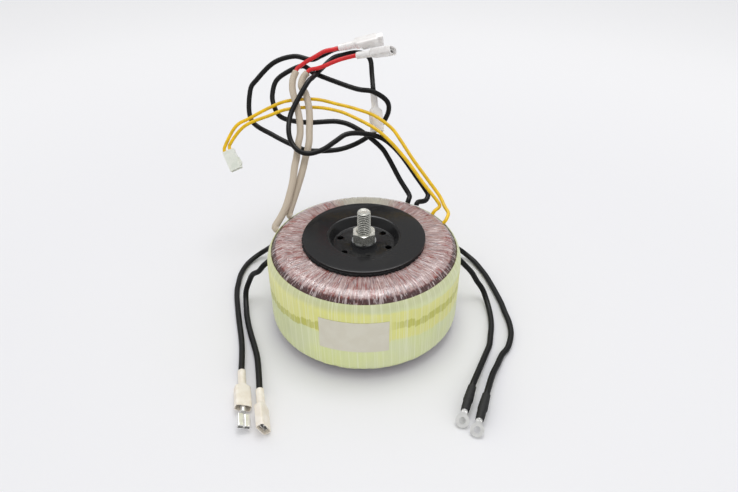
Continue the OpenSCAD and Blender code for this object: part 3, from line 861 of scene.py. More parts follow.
@dataclass
class Body:
    """The wound ring: sizes that the leads and the skins share.

    The film is held flat out to held_radius and wrinkles more and more over free_run past it. Its edge_share
    and fall_share are a mean and a spread: how much of a turn its step up takes, and how far it falls again.
    """

    radius: float = 58.6
    foot: float = 3.0
    height: float = 55.2
    top_shoulder: float = 11.0
    bottom_shoulder: float = 8.0
    hole_radius: float = 23.68
    hole_shoulder: float = 5.0
    held_radius: float = 37.5
    held_rows: Span = (31.0, 34.0)
    free_run: float = 5.0
    spread_gap: float = 1.5
    spread_rows: int = 6
    under_rows: Point = (48.0, 44.0, 40.0)
    under_free: float = 0.4
    under_held: Span = (37.0, 33.0)
    hole_steps: int = 12
    side_steps: int = 20
    turns: int = 76
    step: float = 0.3
    edge_share: Span = (0.16, 0.1)
    fall_share: Span = (0.65, 0.35)
    fall_power: float = 0.7
    tape: float = 0.48
    exit_run: float = 2.5
    gap: float = 0.1

    @property
    def top(self) -> float:
        """Height of the film's upper face."""
        return self.foot + self.height

    @property
    def middle(self) -> float:
        """Height of the ring's middle."""
        return self.foot + self.height / 2

    def shoulder_exit(self, turn: float, tilt: float, lift: float) -> list[Vector]:
        """First two points of a lead that leaves over the top shoulder.

        Args:
            turn: its place round the ring in degrees.
            tilt: its slope in degrees.
            lift: distance of its end from the film.

        Returns:
            The end and the next point.
        """
        t, a = math.radians(turn), math.radians(tilt)
        out = []
        for run in (0.0, self.exit_run):
            reach = self.top_shoulder + lift + run
            r = self.radius - self.top_shoulder + reach * math.cos(a)
            out.append(Vector(polar(r, t, self.top - self.top_shoulder + reach * math.sin(a))))
        return out

    def side_exit(self, turn: float, height: float) -> list[Vector]:
        """First two points of a lead that leaves the side.

        Args:
            turn: its place round the ring in degrees.
            height: its height.

        Returns:
            The end and the next point.
        """
        start = self.radius + self.tape + self.gap
        return [Vector(polar(r, math.radians(turn), height)) for r in (start, start + self.exit_run)]

    @staticmethod
    def arc(radius: float, height: float, size: float, start: float, end: float, steps: int,
            free: float = 1.0) -> list[Station]:
        """Stations on a rounding.

        Args:
            radius, height: its centre.
            size: its radius.
            start, end: where it starts and ends in degrees.
            steps: number of steps on it.
            free: freedom to wrinkle.

        Returns:
            The stations, both ends included.
        """
        out = []
        for k in range(steps + 1):
            a = math.radians(start + (end - start) * k / steps)
            c, s = math.cos(a), math.sin(a)
            out.append(Station(radius + size * c, height + size * s, c, s, free))
        return out

    @staticmethod
    def wall(radius: float, first: float, last: float, out: float, steps: int,
             free: float = 1.0) -> list[Station]:
        """Stations between the ends of an upright wall.

        Args:
            radius: its distance from the axis.
            first, last: heights of its ends, in the order of the stations.
            out: 1 where it faces outwards, -1 where it faces the axis.
            steps: number of steps from end to end.
            free: freedom to wrinkle.

        Returns:
            The stations, both ends left out.
        """
        return [Station(radius, first + (last - first) * (k / steps), out, 0, free) for k in range(1, steps)]

    def section(self, steps: int) -> list[Station]:
        """Closed section of the film, from the hole's lower rounding up, out, down and back.

        Args:
            steps: steps on each rounding.

        Returns:
            The stations.
        """
        inner, outer, low, high = self.hole_radius, self.radius, self.foot, self.top
        hole, over, under = self.hole_shoulder, self.top_shoulder, self.bottom_shoulder
        held = self.held_radius
        spread = [held + self.spread_gap * k for k in range(1, self.spread_rows + 1)]
        return (
            self.arc(inner + hole, low + hole, hole, 270, 180, steps, 0.0)
            + self.wall(inner, low + hole, high - hole, -1, self.hole_steps, 0.0)
            + self.arc(inner + hole, high - hole, hole, 180, 90, steps, 0.0)
            + [Station(r, high, 0, 1, 0.0) for r in (*self.held_rows, held)]
            + [Station(r, high, 0, 1, min(1.0, (r - held) / self.free_run)) for r in spread]
            + self.arc(outer - over, high - over, over, 90, 0, steps)
            + self.wall(outer, high - over, low + under, 1, self.side_steps)
            + self.arc(outer - under, low + under, under, 0, -90, steps)
            + [Station(r, low, 0, -1, self.under_free) for r in self.under_rows]
            + [Station(r, low, 0, -1, 0.0) for r in self.under_held]
        )

    def ridge(self, turn: float, share: float) -> float:
        """Fall of the film's surface below its smooth form, from 0 to 1.

        Args:
            turn: place round the ring in degrees.
            share: place round the section, from 0 to 1.

        Returns:
            0 on the edge of an overlapping turn, 1 beside it.
        """
        phase = (turn + 90) * self.turns / 360 - share
        number = math.floor(phase) % self.turns
        x = phase - math.floor(phase)
        edge_mean, edge_spread = self.edge_share
        fall_mean, fall_spread = self.fall_share
        edge = edge_mean + edge_spread * noise.noise(Vector((number * 7.3, 1.0, share * 6)))
        fall = fall_mean + fall_spread * noise.noise(Vector((number * 3.7, 5.0, share * 4)))
        rise = x / edge if x < edge else 1 - (x - edge) / (1 - edge)
        return fall * (1 - max(0.0, min(1.0, rise)) ** self.fall_power)


@dataclass
class Skins:
    """The film and the tape that show on the ring.

    The tape_share is where round the section the tape's ridges start, and how far they run on down it.
    """

    body: Body
    columns: int = 800
    rounding_steps: int = 10
    film_ridge: float = 0.6
    wrinkle_depth: float = 0.42
    wrinkles_round: float = 34.0
    wrinkles_down: float = 0.07
    tape_from: float = 38.0
    tape_to: float = -30.0
    tape_steps: tuple[int, int, int] = (8, 24, 7)
    tape_share: Span = (0.4, 0.35)
    tape_ridge: float = 0.8
    tape_inside: float = 0.05
    ragged_rise: float = 0.7
    ragged_rows: int = 3

    def turns(self) -> list[float]:
        """Turns of the columns in degrees."""
        return [360 * k / self.columns for k in range(self.columns)]

    def film(self, material: bpy.types.Material) -> bpy.types.Object:
        """The whole film, a closed ring of overlapping turns.

        Args:
            material: its finish.

        Returns:
            The piece.
        """
        section = self.body.section(self.rounding_steps)
        points = []
        for j, place in enumerate(section):
            for turn in self.turns():
                a = math.radians(turn)
                ridge = self.body.step * self.body.ridge(turn, j / len(section)) * self.film_ridge
                down = (place.radius - place.height) * self.wrinkles_down
                wrinkle = self.wrinkle_depth * ripple(self.wrinkles_round, a, down)
                points.append(place.point(a, -place.free * (ridge + wrinkle)))
        faces = ring_faces(len(section), self.columns, True)
        return ride(mesh_object("outer_film_skin", points, faces, material), "outer_film")

    def tape(self, material: bpy.types.Material) -> bpy.types.Object:
        """The side tape, a band with a ragged lower edge and a turned-in upper one.

        Args:
            material: its finish.

        Returns:
            The piece.
        """
        b = self.body
        over, under = b.top_shoulder, b.bottom_shoulder
        upper, lower = b.top - over, b.foot + under
        over_steps, side_steps, under_steps = self.tape_steps
        section = (
            b.arc(b.radius - over, upper, over, self.tape_from, 0, over_steps)
            + b.wall(b.radius, upper, lower, 1, side_steps)
            + b.arc(b.radius - under, lower, under, 0, self.tape_to, under_steps)
        )
        first, spread = self.tape_share
        rows = list(enumerate(section))
        points = []
        for lift, order in ((b.tape, rows), (self.tape_inside, rows[::-1])):
            for j, place in order:
                hang = max(0.0, (j - len(rows) + self.ragged_rows + 1) / self.ragged_rows)
                for turn in self.turns():
                    fall = b.step * b.ridge(turn, first + spread * j / len(rows)) * self.tape_ridge
                    rise = self.ragged_rise * hang * self.ragged(turn)
                    points.append(place.point(math.radians(turn), lift - fall, rise))
        faces = ring_faces(2 * len(rows), self.columns, True)
        piece = mesh_object("side_tape_skin", points, faces, material, sharp=50)
        return ride(piece, "side_tape")

    def ragged(self, turn: float) -> float:
        """How far the tape's lower edge lies above its lowest line, from 0 to 1."""
        number = math.floor((turn + 90) * self.body.turns / 360)
        return 0.5 + 0.5 * noise.noise(Vector((number * 5.1, 2.0, 0.5)))


# ---------------------------------------------------------------- clamping kit


@dataclass
class Washer:
    """A dished washer, turned as one profile."""

    radius: float = 37.0
    sheet: float = 1.2
    dish_radius: float = 22.5
    floor_radius: float = 18.0
    depth: float = 5.6
    rim: float = 61.2
    bore: float = 4.2
    bend: float = 0.8
    bend_steps: int = 12
    edge: float = 0.25
    bore_edge: Span = (0.3, 0.2)
    flat_rim: float = 4.0
    vent_circle: float = 15.5
    vent_radius: float = 2.0
    vents: int = 6
    first_vent: float = 41.0
    cutter_depth: float = 8.0
    columns: int = 256

    def profile(self) -> list[Span]:
        """Closed outline of the section, from the rim's outer edge inwards and back.

        Returns:
            Radius and height of each corner.
        """
        rim_bend = self.sheet + self.bend
        total = rim_bend + self.bend
        run = self.dish_radius - self.floor_radius
        length = math.sqrt(run ** 2 + (self.depth - total) ** 2 - total ** 2)
        angle = math.atan2(self.depth - total, run) + math.atan2(total, length)
        floor = self.rim - self.depth
        turns = [angle * k / self.bend_steps for k in range(self.bend_steps + 1)]

        def wall(below: float) -> list[Span]:
            """The two bends of the dish's wall.

            Args:
                below: distance below the sheet's upper face.

            Returns:
                Radius and height of each corner, from the rim inwards.
            """
            r, s = rim_bend - below, self.bend + below
            top, bottom = self.rim - rim_bend, floor + self.bend
            upper = [(self.dish_radius - r * math.sin(a), top + r * math.cos(a)) for a in turns]
            lower = [(self.floor_radius + s * math.sin(a), bottom - s * math.cos(a)) for a in turns]
            return upper + lower[::-1]

        edge, (bore_in, bore_down) = self.edge, self.bore_edge
        return (
            [(self.radius, self.rim - 2 * edge), (self.radius - 0.3 * edge, self.rim - 0.3 * edge),
             (self.radius - 2 * edge, self.rim), (self.radius - self.flat_rim, self.rim)]
            + wall(0.0)
            + [(self.bore + bore_in, floor), (self.bore, floor - bore_down), (self.bore, floor - self.sheet)]
            + wall(self.sheet)[::-1]
            + [(self.radius - edge, self.rim - self.sheet), (self.radius, self.rim - self.sheet + edge)]
        )

    def pierce(self, sheet: bpy.types.Object) -> None:
        """Cuts the small holes round the dish's floor.

        Args:
            sheet: the turned washer.
        """
        for k in range(self.vents):
            turn = math.radians(self.first_vent + 360 * k / self.vents)
            place = polar(self.vent_circle, turn, self.rim - self.depth)
            bpy.ops.mesh.primitive_cylinder_add(
                vertices=40, radius=self.vent_radius * MM, depth=self.cutter_depth * MM,
                location=[c * MM for c in place],
            )
            cutter = bpy.context.object
            cut = sheet.modifiers.new("vent", "BOOLEAN")
            cut.operation, cut.object = "DIFFERENCE", cutter
            bpy.context.view_layer.objects.active = sheet
            bpy.ops.object.modifier_apply(modifier=cut.name)
            bpy.data.objects.remove(cutter)

    def piece(self, node: str, material: bpy.types.Material, mirror: float | None = None) -> bpy.types.Object:
        """Builds the washer.

        Args:
            node: the node that it stands for.
            material: its paint.
            mirror: height about which the lower washer is turned over.

        Returns:
            The piece.
        """
        outline = self.profile()
        points = [polar(r, turn, z) for r, z in outline for turn in round_turns(self.columns)]
        faces = ring_faces(len(outline), self.columns, True)
        made = mesh_object(node + "_sheet", points, faces, material, sharp=40)
        self.pierce(made)
        if mirror is not None:
            for v in made.data.vertices:
                v.co.z = 2 * mirror * MM - v.co.z
            made.data.flip_normals()
        return ride(made, node)


@dataclass
class Pad:
    """A cut pad whose edge is frayed where it stands out past its washer."""

    inner: float = 26.0
    outer: float = 37.8
    shift: float = 0.7
    shift_turn: float = 235.0
    bottom: float = 58.2
    thickness: float = 1.8
    layers: int = 3
    fray: float = 1.9
    tufts: float = 34.0
    tuft_change: float = 1.7
    columns: int = 900

    def piece(self, node: str, material: bpy.types.Material) -> bpy.types.Object:
        """Builds the pad with tufts of different reach round its edge.

        Args:
            node: the node that it stands for.
            material: its rubber.

        Returns:
            The piece.
        """
        edge = [self.bottom + self.thickness * k / self.layers for k in range(self.layers + 1)]
        levels = [(False, edge[0])] + [(True, z) for z in edge] + [(False, edge[-1])]
        points = []
        for j, (frayed, z) in enumerate(levels):
            for turn in round_turns(self.columns):
                reach = self.outer + self.shift * math.cos(turn - math.radians(self.shift_turn))
                reach -= self.fray * (1 - ripple(self.tufts, turn, j * self.tuft_change))
                points.append(polar(reach if frayed else self.inner, turn, z))
        faces = ring_faces(len(levels), self.columns, True)
        return ride(mesh_object(node + "_frayed", points, faces, material, sharp=30), node)


@dataclass
class Fastener:
    """The bolt and its nut."""

    flats: float = 13.0
    bolt_radius: float = 4.0
    pitch: float = 1.25
    thread_depth: float = 0.72
    crest: float = 0.1
    flank: float = 0.78
    rows_per_pitch: int = 12
    tip_depth: float = 1.0
    tip_slope: float = 1.1
    tip_rings: tuple[Span, ...] = ((0.8, 0.0), (0.45, 0.15), (0.05, 0.22))
    head_from: float = 0.3
    head_to: float = 5.6
    head_core: float = 0.5
    bolt_top: float = 78.1
    nut_from: float = 57.6
    nut_height: float = 6.5
    nut_room: float = 0.05
    mouth: float = 0.6
    mouth_depth: float = 0.5
    chamfer: float = 30.0
    face_share: float = 0.985
    chamfer_share: float = 0.995
    core_share: float = 0.5
    chamfer_rows: tuple[float, ...] = (0.25, 0.5, 0.75, 1.0, 1.4)
    edge: float = 0.02
    columns: int = 96

    def hexagon(self, low: float, high: float, bore: float, both: bool) -> tuple[list[Point], list]:
        """Rings of a chamfered hexagon with a bore.

        Args:
            low, high: its heights.
            bore: radius of the hole.
            both: whether its upper corners and its bore's mouth are chamfered too.

        Returns:
            Points and faces.
        """
        half, slope = self.flats / 2, math.tan(math.radians(self.chamfer))
        corner = half / math.cos(math.radians(30))
        drop = (corner - half) * slope
        levels = [0, self.edge] + [drop * t for t in self.chamfer_rows]
        span = high - low
        points: list[Point] = []

        def ring(z: float, room: float | None = None, radius: float = 0.0) -> None:
            """Adds a ring, which is six-sided where its room is given and round where it isn't.

            Args:
                z: its height.
                room: its distance from the nearer chamfered end.
                radius: radius of a round ring.
            """
            for k in range(self.columns):
                a = 360 * k / self.columns
                flat = half / math.cos(math.radians((a - 30) % 60 - 30))
                r = radius if room is None else min(flat, half * self.chamfer_share + room / slope)
                points.append(polar(r, math.radians(a), z))

        ring(low, radius=bore)
        ring(low, radius=half * self.face_share)
        for h in levels + [span - v for v in reversed(levels)]:
            ring(low + h, h if h < span / 2 else (span - h if both else span))
        ring(high, radius=bore + self.mouth if both else half * self.core_share)
        ring(high - self.mouth_depth if both else high, radius=bore)
        return points, ring_faces(len(points) // self.columns, self.columns, True)

    def thread(self, low: float, high: float) -> tuple[list[Point], list]:
        """Rings of a threaded rod.

        Args:
            low, high: where the rod starts and ends.

        Returns:
            Points and faces, with a dished end cap.
        """
        rows = int((high - low) / self.pitch * self.rows_per_pitch) + 1
        tip = self.bolt_radius - self.tip_depth
        points: list[Point] = []
        for j in range(rows):
            z = low + (high - low) * j / (rows - 1)
            for k, turn in enumerate(round_turns(self.columns)):
                phase = ((z - low) / self.pitch - k / self.columns) % 1
                tooth = max(0.0, min(1.0, (abs(phase - 0.5) * 2 - self.crest) / self.flank))
                r = self.bolt_radius - tooth * self.thread_depth
                points.append(polar(min(r, tip + (high - z) * self.tip_slope), turn, z))
        for share, fall in self.tip_rings:
            points += [polar(tip * share, turn, high - fall) for turn in round_turns(self.columns)]
        return points, ring_faces(len(points) // self.columns, self.columns)

    def bolt(self, material: bpy.types.Material) -> bpy.types.Object:
        """Head and threaded shank in one piece.

        Args:
            material: its plating.

        Returns:
            The piece.
        """
        points, faces = self.hexagon(self.head_from, self.head_to, self.head_core, False)
        more, extra = self.thread(self.head_to, self.bolt_top)
        faces += [tuple(len(points) + c for c in face) for face in extra]
        made = mesh_object("threaded_bolt", points + more, faces, material, sharp=28)
        return ride(made, "bolt")

    def nut(self, material: bpy.types.Material) -> bpy.types.Object:
        """Nut with both ends chamfered.

        Args:
            material: its plating.

        Returns:
            The piece.
        """
        bore = self.bolt_radius + self.nut_room
        points, faces = self.hexagon(self.nut_from, self.nut_from + self.nut_height, bore, True)
        return ride(mesh_object("hexagon_nut", points, faces, material, sharp=24), "nut")


# ---------------------------------------------------------------- leads


class Ending(Enum):
    CONNECTOR = "connector"
    FITTING = "fitting"
    BARE = "bare"


@dataclass
class Lead:
    """One round lead or sleeve that follows a route."""

    node: str
    route: list[Vector]
    diameter: float
    slot: str
    ending: Ending
    columns: int = 16
    stiffness: str = "medium"
    row_gap: float = 1.5
    cut_share: float = 0.93
    cut_middle: float = 0.01

    def run(self) -> list[Vector]:
        """Close points along the route."""
        return smooth(self.route, self.row_gap)

    def length(self) -> float:
        """Length of the route in millimetres."""
        line = self.run()
        return sum((b - a).length for a, b in zip(line, line[1:]))

    def build(self, material: bpy.types.Material) -> bpy.types.Object:
        """Sweeps the tube, with its map in millimetres and rounded cut ends.

        Args:
            material: its finish.

        Returns:
            The piece.
        """
        line = self.run()
        last = len(line) - 1
        ways = [(line[min(i + 1, last)] - line[max(i - 1, 0)]).normalized() for i in range(last + 1)]
        side = Vector((0, 0.3, 1))
        sides: list[Vector] = []
        for way in ways:
            side = (side - side.dot(way) * way).normalized()
            sides.append(side)
        travelled = [0.0]
        for a, b in zip(line, line[1:]):
            travelled.append(travelled[-1] + (b - a).length)
        radius = self.diameter / 2
        cut = radius * self.cut_share
        rings = [(0, self.cut_middle), (0, cut)] + [(i, radius) for i in range(last + 1)]
        rings += [(last, cut), (last, self.cut_middle)]
        points: list[Point] = []
        for i, r in rings:
            other = ways[i].cross(sides[i])
            for turn in round_turns(self.columns):
                points.append(tuple(line[i] + r * (math.cos(turn) * sides[i] + math.sin(turn) * other)))
        faces = [f[::-1] for f in ring_faces(len(rings), self.columns)]
        made = mesh_object(self.node + "_run", points, faces, material, sharp=60)
        self.lay_map(made, [travelled[i] for i, _ in rings])
        return ride(made, self.node)

    def lay_map(self, tube: bpy.types.Object, travelled: Sequence[float]) -> None:
        """Maps the tube, in millimetres around and along it.

        Args:
            tube: the swept tube.
            travelled: distance of each ring from the start.
        """
        layer = tube.data.uv_layers.new(name=RUN_MAP)
        girth = math.pi * self.diameter
        for polygon in tube.data.polygons:
            corners = [tube.data.loops[l].vertex_index for l in polygon.loop_indices]
            wraps = {c % self.columns for c in corners} == {0, self.columns - 1}
            for l, c in zip(polygon.loop_indices, corners):
                k = c % self.columns
                around = (self.columns if wraps and k == 0 else k) / self.columns * girth
                layer.data[l].uv = (around, travelled[c // self.columns])

    def declare(self, piece: bpy.types.Object, pieces: Sequence[bpy.types.Object]) -> None:
        """Args:
            piece: the swept tube; not used.
            pieces: what it carries; not used.
        """
        line = [tuple(p * MM) for p in self.run()]
        self.length() * MM
        self.diameter * MM


@dataclass
class Boot:
    """Soft insulating boot over a receptacle."""

    lead: Lead
    node: str
    slot: str
    roll: float
    back: float
    length: float = 27.0
    neck_length: float = 10.0
    flare: float = 3.0
    neck_radius: float = 2.32
    width: float = 9.4
    depth: float = 5.0
    wall: float = 0.4
    dent: float = 0.05
    squareness: float = 0.62
    neck_rows: tuple[float, ...] = (0, 0.15, 2, 4, 6, 8, 9.2)
    flare_rows: int = 5
    mouth_rows: tuple[float, ...] = (10, 7, 4, 1.5, 0)
    columns: int = 48

    def build(self, material: bpy.types.Material) -> bpy.types.Object:
        """Lofts the boot's wall from a round neck to a flat mouth.

        Args:
            material: its finish.

        Returns:
            The piece.
        """
        end = self.lead.route[-1]
        x, y, z = frame_of(end - self.lead.route[-2], self.roll)
        flare = [self.neck_length + self.flare * k / self.flare_rows for k in range(self.flare_rows + 1)]
        stations = [*self.neck_rows, *flare, *(self.length - before for before in self.mouth_rows)]
        points: list[Point] = []

        def ring(h: float, inset: float) -> None:
            """Adds a ring of the wall.

            Args:
                h: its distance from the neck's end.
                inset: its distance inside the outer face.
            """
            t = max(0.0, min(1.0, (h - self.neck_length) / self.flare))
            t = t * t * (3 - 2 * t)
            w = self.neck_radius + (self.width / 2 - self.neck_radius) * t - inset
            d = self.neck_radius + (self.depth / 2 - self.neck_radius) * t - inset
            power = 1 - self.squareness * t
            for turn in round_turns(self.columns):
                c, s = math.cos(turn), math.sin(turn)
                wide = w * math.copysign(abs(c) ** power, c)
                deep = d * math.copysign(abs(s) ** power, s)
                pressed = 0.5 + 0.5 * noise.noise(Vector((wide * 0.4, deep * 0.5, h * 0.22 + self.roll)))
                kept = 1 - self.dent * t * pressed
                points.append(tuple(end + x * wide * kept + y * deep * kept + z * (h - self.back)))

        for h in stations:
            ring(h, 0.0)
        ring(self.length, self.wall * 0.5)
        for h in reversed(stations):
            ring(h, self.wall)
        faces = [f[::-1] for f in ring_faces(len(points) // self.columns, self.columns, True)]
        made = mesh_object(self.node + "_shell", points, faces, material, sharp=70)
        return ride(made, self.node)


def vectors(points: Sequence[Point]) -> list[Vector]:
    """Points in millimetres as vectors."""
    return [Vector(p) for p in points]


@dataclass
class Harness:
    """All the leads with what they carry."""

    body: Body
    table: float = 3.6
    back: float = 3.4
    red: float = 2.8
    yellow: float = 2.3
    sleeve: float = 4.6
    on_film: float = 0.1
    on_tape: float = 0.58
    clear_of_table: float = 0.1
    boot_back: float = 9.0
    slipped: float = 24.0
    shrink_back: float = 13.5
    housing_at: Point = (-94, 77, 79)
    housing_way: Point = (6, -8, -11)
    housing_roll: float = 120.0
    contact_pitch: float = 3.8
    contact_in: float = 4.0

    @property
    def lying(self) -> float:
        """Height of the middle of a lead that lies on the table."""
        return self.table / 2 + self.clear_of_table

    @staticmethod
    def run_out(end: Point | Vector, way: Point, length: float) -> list[Vector]:
        """Straight last stretch of a lead.

        Args:
            end: where the lead ends.
            way: its direction there.
            length: length of the straight stretch.

        Returns:
            Three points in line.
        """
        along = Vector(way).normalized()
        return [Vector(end) - before * along for before in (length + 3, length, 0)]

    def contact_end(self, side: int) -> Vector:
        """End of a yellow lead in the plug housing, on side -1 or 1."""
        x, _, z = frame_of(Vector(self.housing_way), self.housing_roll)
        return Vector(self.housing_at) + side * self.contact_pitch / 2 * x + self.contact_in * z

    @staticmethod
    def onward(route: list[Vector], run: float) -> list[Vector]:
        """First two points of a lead that carries on from the end of a sleeve."""
        way = (route[-1] - route[-2]).normalized()
        return [route[-1].copy(), route[-1] + run * way]

    def routes(self) -> dict[str, list[Vector]]:
        """Route of every lead and sleeve.

        Returns:
            The points of each, by its node's name.
        """
        b, low = self.body, self.lying
        left_sleeve = b.shoulder_exit(161, 27, self.on_tape) + vectors([
            (-53, 27, 58), (-50, 33, 63), (-47, 44, 72), (-46, 53, 79), (-45, 59, 83), (-44, 66, 90),
            (-43, 72, 95), (-44, 80, 103), (-47, 89, 111), (-49, 95, 116), (-49, 101, 121), (-47, 105, 125),
        ])
        right_sleeve = b.shoulder_exit(147, 40, self.on_tape) + vectors([
            (-47, 38, 61), (-44, 46, 68), (-41, 54, 76), (-39, 61, 83), (-37, 67, 90), (-37, 74, 96),
            (-37, 81, 103), (-38, 87, 109), (-40, 93, 114), (-43, 96, 118), (-42, 101, 122),
            (-39, 103, 125),
        ])
        red_1 = (self.onward(left_sleeve, b.exit_run)
                 + vectors([(-40, 107, 131), (-33, 107, 135), (-27, 108, 138)])
                 + self.run_out((-9, 109, 142), (9, 1, 2), self.boot_back))
        red_2 = (self.onward(right_sleeve, b.exit_run)
                 + vectors([(-32, 103, 128), (-27, 102, 130), (-20, 102, 133), (-14, 102, 135)])
                 + self.run_out((3, 96, 140), (10, -5, 3), self.boot_back))
        looped_1 = b.shoulder_exit(58, 52, self.on_film) + vectors([
            (30, 52, 59), (24, 60, 66), (16, 69, 78), (10, 73, 85), (-4, 79, 94), (-18, 83, 98),
            (-40, 84, 97), (-57, 90, 98), (-63, 97, 104), (-64, 103, 111), (-60, 109, 119), (-45, 113, 126),
            (-38, 112, 124), (-34, 109, 122), (-7, 95, 117), (6, 91, 116), (16, 91, 108), (14, 91, 96),
            (1, 85, 85), (-16, 76, 81), (-35, 71, 82), (-44, 73, 83), (-63, 83, 88), (-79, 93, 95),
            (-80, 105, 111), (-75, 110, 118), (-63, 115, 128), (-49, 116, 132), (-37, 112, 131),
            (-30, 114, 133), (-22, 117, 136),
        ]) + self.run_out((-5, 120, 139), (11, 1, 2), self.boot_back)
        looped_2 = b.shoulder_exit(52, 42, self.on_tape) + vectors([
            (41, 49, 56), (43, 53, 58), (41, 56, 61), (35, 61, 68), (25, 68, 80), (16, 72, 88), (8, 73, 92),
            (-3, 71, 95), (-12, 67, 96), (-19, 63, 93), (-27, 59, 89), (-36, 57, 87), (-43, 57, 89),
            (-48, 62, 93), (-50, 68, 99), (-49, 77, 106), (-44, 85, 114), (-38, 93, 122), (-35, 100, 123),
            (-30, 107, 126), (-22, 115, 131), (-15, 119, 132), (-7, 121, 133), (0, 121, 132), (4, 117, 129),
            (5, 109, 122),
        ]) + self.run_out((7, 92, 106), (1, -6, -8), self.boot_back)
        yellow_1 = b.shoulder_exit(23.5, 48, self.on_film) + vectors([
            (54, 28, 59), (52, 33, 61), (49, 40, 65), (41, 49, 73), (32, 59, 82), (24, 69, 91),
            (18, 75, 97), (7, 81, 103), (-6, 86, 106), (-18, 89, 108), (-34, 93, 110), (-53, 95, 108),
            (-66, 92, 104), (-79, 89, 98), (-89, 86, 93),
        ]) + self.run_out(self.contact_end(-1), self.housing_way, self.contact_in)
        yellow_2 = b.shoulder_exit(35.5, 52, self.on_film) + vectors([
            (49, 35, 60), (47, 38, 63), (39, 47, 70), (28, 59, 81), (17, 67, 91), (7, 74, 97),
            (-6, 82, 101), (-18, 87, 104), (-34, 91, 105), (-53, 90, 104), (-66, 88, 100), (-79, 85, 96),
            (-87, 84, 90),
        ]) + self.run_out(self.contact_end(1), self.housing_way, self.contact_in)
        left_1 = b.side_exit(148, 30) + vectors([
            (-56, 39, 27), (-61, 46, 22), (-67, 55, 14), (-73, 60, 7), (-78, 59, 4), (-83, 54, 2.4),
            (-86, 48, low), (-88, 38, low), (-88, 28, low), (-87, 16, low), (-82, -6, low), (-76, -29, 2.2),
            (-73, -44, 3.4),
        ]) + self.run_out((-66, -81, 4.5), (2, -10, 0), self.slipped)
        left_2 = b.side_exit(165, 32) + vectors([
            (-65, 11, 30), (-69, 11, 25), (-74, 14, 20), (-77, 14, 14), (-79, 11, 9), (-79, 7, 5),
            (-78, 1, 2.6), (-76, -8, low), (-72, -21, low), (-68, -32, 2.2), (-64, -44, 2.8),
            (-61, -57, 4.2),
        ]) + self.run_out((-56, -81, 5.4), (2, -9, 0), self.boot_back)
        right_1 = b.side_exit(16, 33) + vectors([
            (66, 15, 27), (71, 15, 21), (75, 15, 14), (79, 12, 9), (81, 7, 5), (82, 1, 2.6), (82, -7, low),
            (81, -16, low), (79, -25, low), (77, -33, low), (73, -42, 2.4), (69, -51, 3.4),
        ]) + self.run_out((56, -83, 6.2), (-3, -8, 0), self.shrink_back)
        right_2 = b.side_exit(38, 28) + vectors([
            (56, 45, 24), (62, 54, 15), (69, 60, 8), (75, 58, 4), (80, 52, 2.4), (84, 42, low),
            (87, 31, low), (91, 9, low), (92, -2, low), (93, -13, low), (92, -24, low), (88, -35, low),
            (83, -42, 2.3), (79, -50, 3), (74, -60, 4.4),
        ]) + self.run_out((63, -89, 6.2), (-3, -8, 0), self.shrink_back)
        return {
            "left_sleeve": left_sleeve, "right_sleeve": right_sleeve,
            "red_lead_1": red_1, "red_lead_2": red_2,
            "looped_lead_1": looped_1, "looped_lead_2": looped_2,
            "yellow_lead_1": yellow_1, "yellow_lead_2": yellow_2,
            "left_lead_1": left_1, "left_lead_2": left_2,
            "right_lead_1": right_1, "right_lead_2": right_2,
        }

    def leads(self) -> list[Lead]:
        """Every lead and sleeve.

        Returns:
            The leads, sleeves first.
        """
        routes = self.routes()
        made = [
            Lead(node, routes[node], self.sleeve, "sleeve", Ending.BARE, 24)
            for node in ("left_sleeve", "right_sleeve")
        ]
        for family, diameter, slot, ending in (
            ("red_lead", self.red, "red_pvc", Ending.CONNECTOR),
            ("looped_lead", self.back, "black_pvc", Ending.CONNECTOR),
            ("yellow_lead", self.yellow, "yellow_pvc", Ending.CONNECTOR),
            ("left_lead", self.table, "black_pvc", Ending.CONNECTOR),
            ("right_lead", self.table, "black_pvc", Ending.FITTING),
        ):
            for node in (family + "_1", family + "_2"):
                made.append(Lead(node, routes[node], diameter, slot, ending))
        return made

    def build(self, finishes: dict[str, bpy.types.Material]) -> list[bpy.types.Object]:
        """Builds every lead and boot.

        Args:
            finishes: materials by slot.

        Returns:
            The new pieces.
        """
        boots = {
            "red_lead_1": ("red_boot_1", "white_boot", 100, self.boot_back),
            "red_lead_2": ("red_boot_2", "white_boot", 60, self.boot_back),
            "looped_lead_1": ("looped_boot_1", "white_boot", 30, self.boot_back),
            "looped_lead_2": ("looped_boot_2", "white_boot", 70, self.boot_back),
            "left_lead_1": ("left_boot_1", "cream_boot", 65, self.slipped),
            "left_lead_2": ("left_boot_2", "cream_boot", 25, self.boot_back),
        }
        carried = {
            "left_sleeve": [], "right_sleeve": [],
            "red_lead_1": ["red_terminal_1"], "red_lead_2": ["red_terminal_2"],
            "looped_lead_1": ["looped_terminal_1"], "looped_lead_2": ["looped_terminal_2"],
            "yellow_lead_1": ["yellow_contact_1", "plug_housing"],
            "yellow_lead_2": ["yellow_contact_2", "plug_housing"],
            "left_lead_1": ["left_terminal_1"], "left_lead_2": ["left_terminal_2"],
            "right_lead_1": ["ring_terminal_1", "shrink_tube_1"],
            "right_lead_2": ["ring_terminal_2", "shrink_tube_2"],
        }
        pieces = []
        for lead in self.leads():
            piece = lead.build(finishes[lead.slot])
            ends = [frame["nodes"][n] for n in carried[lead.node]]
            if lead.node in boots:
                boot = Boot(lead, *boots[lead.node])
                shell = boot.build(finishes[boot.slot])
                pieces.append(shell)
                ends.append(shell)
            lead.declare(piece, ends)
            pieces.append(piece)
            log.info("%s: %.0f mm", lead.node, lead.length())
        return pieces


# ---------------------------------------------------------------- stage


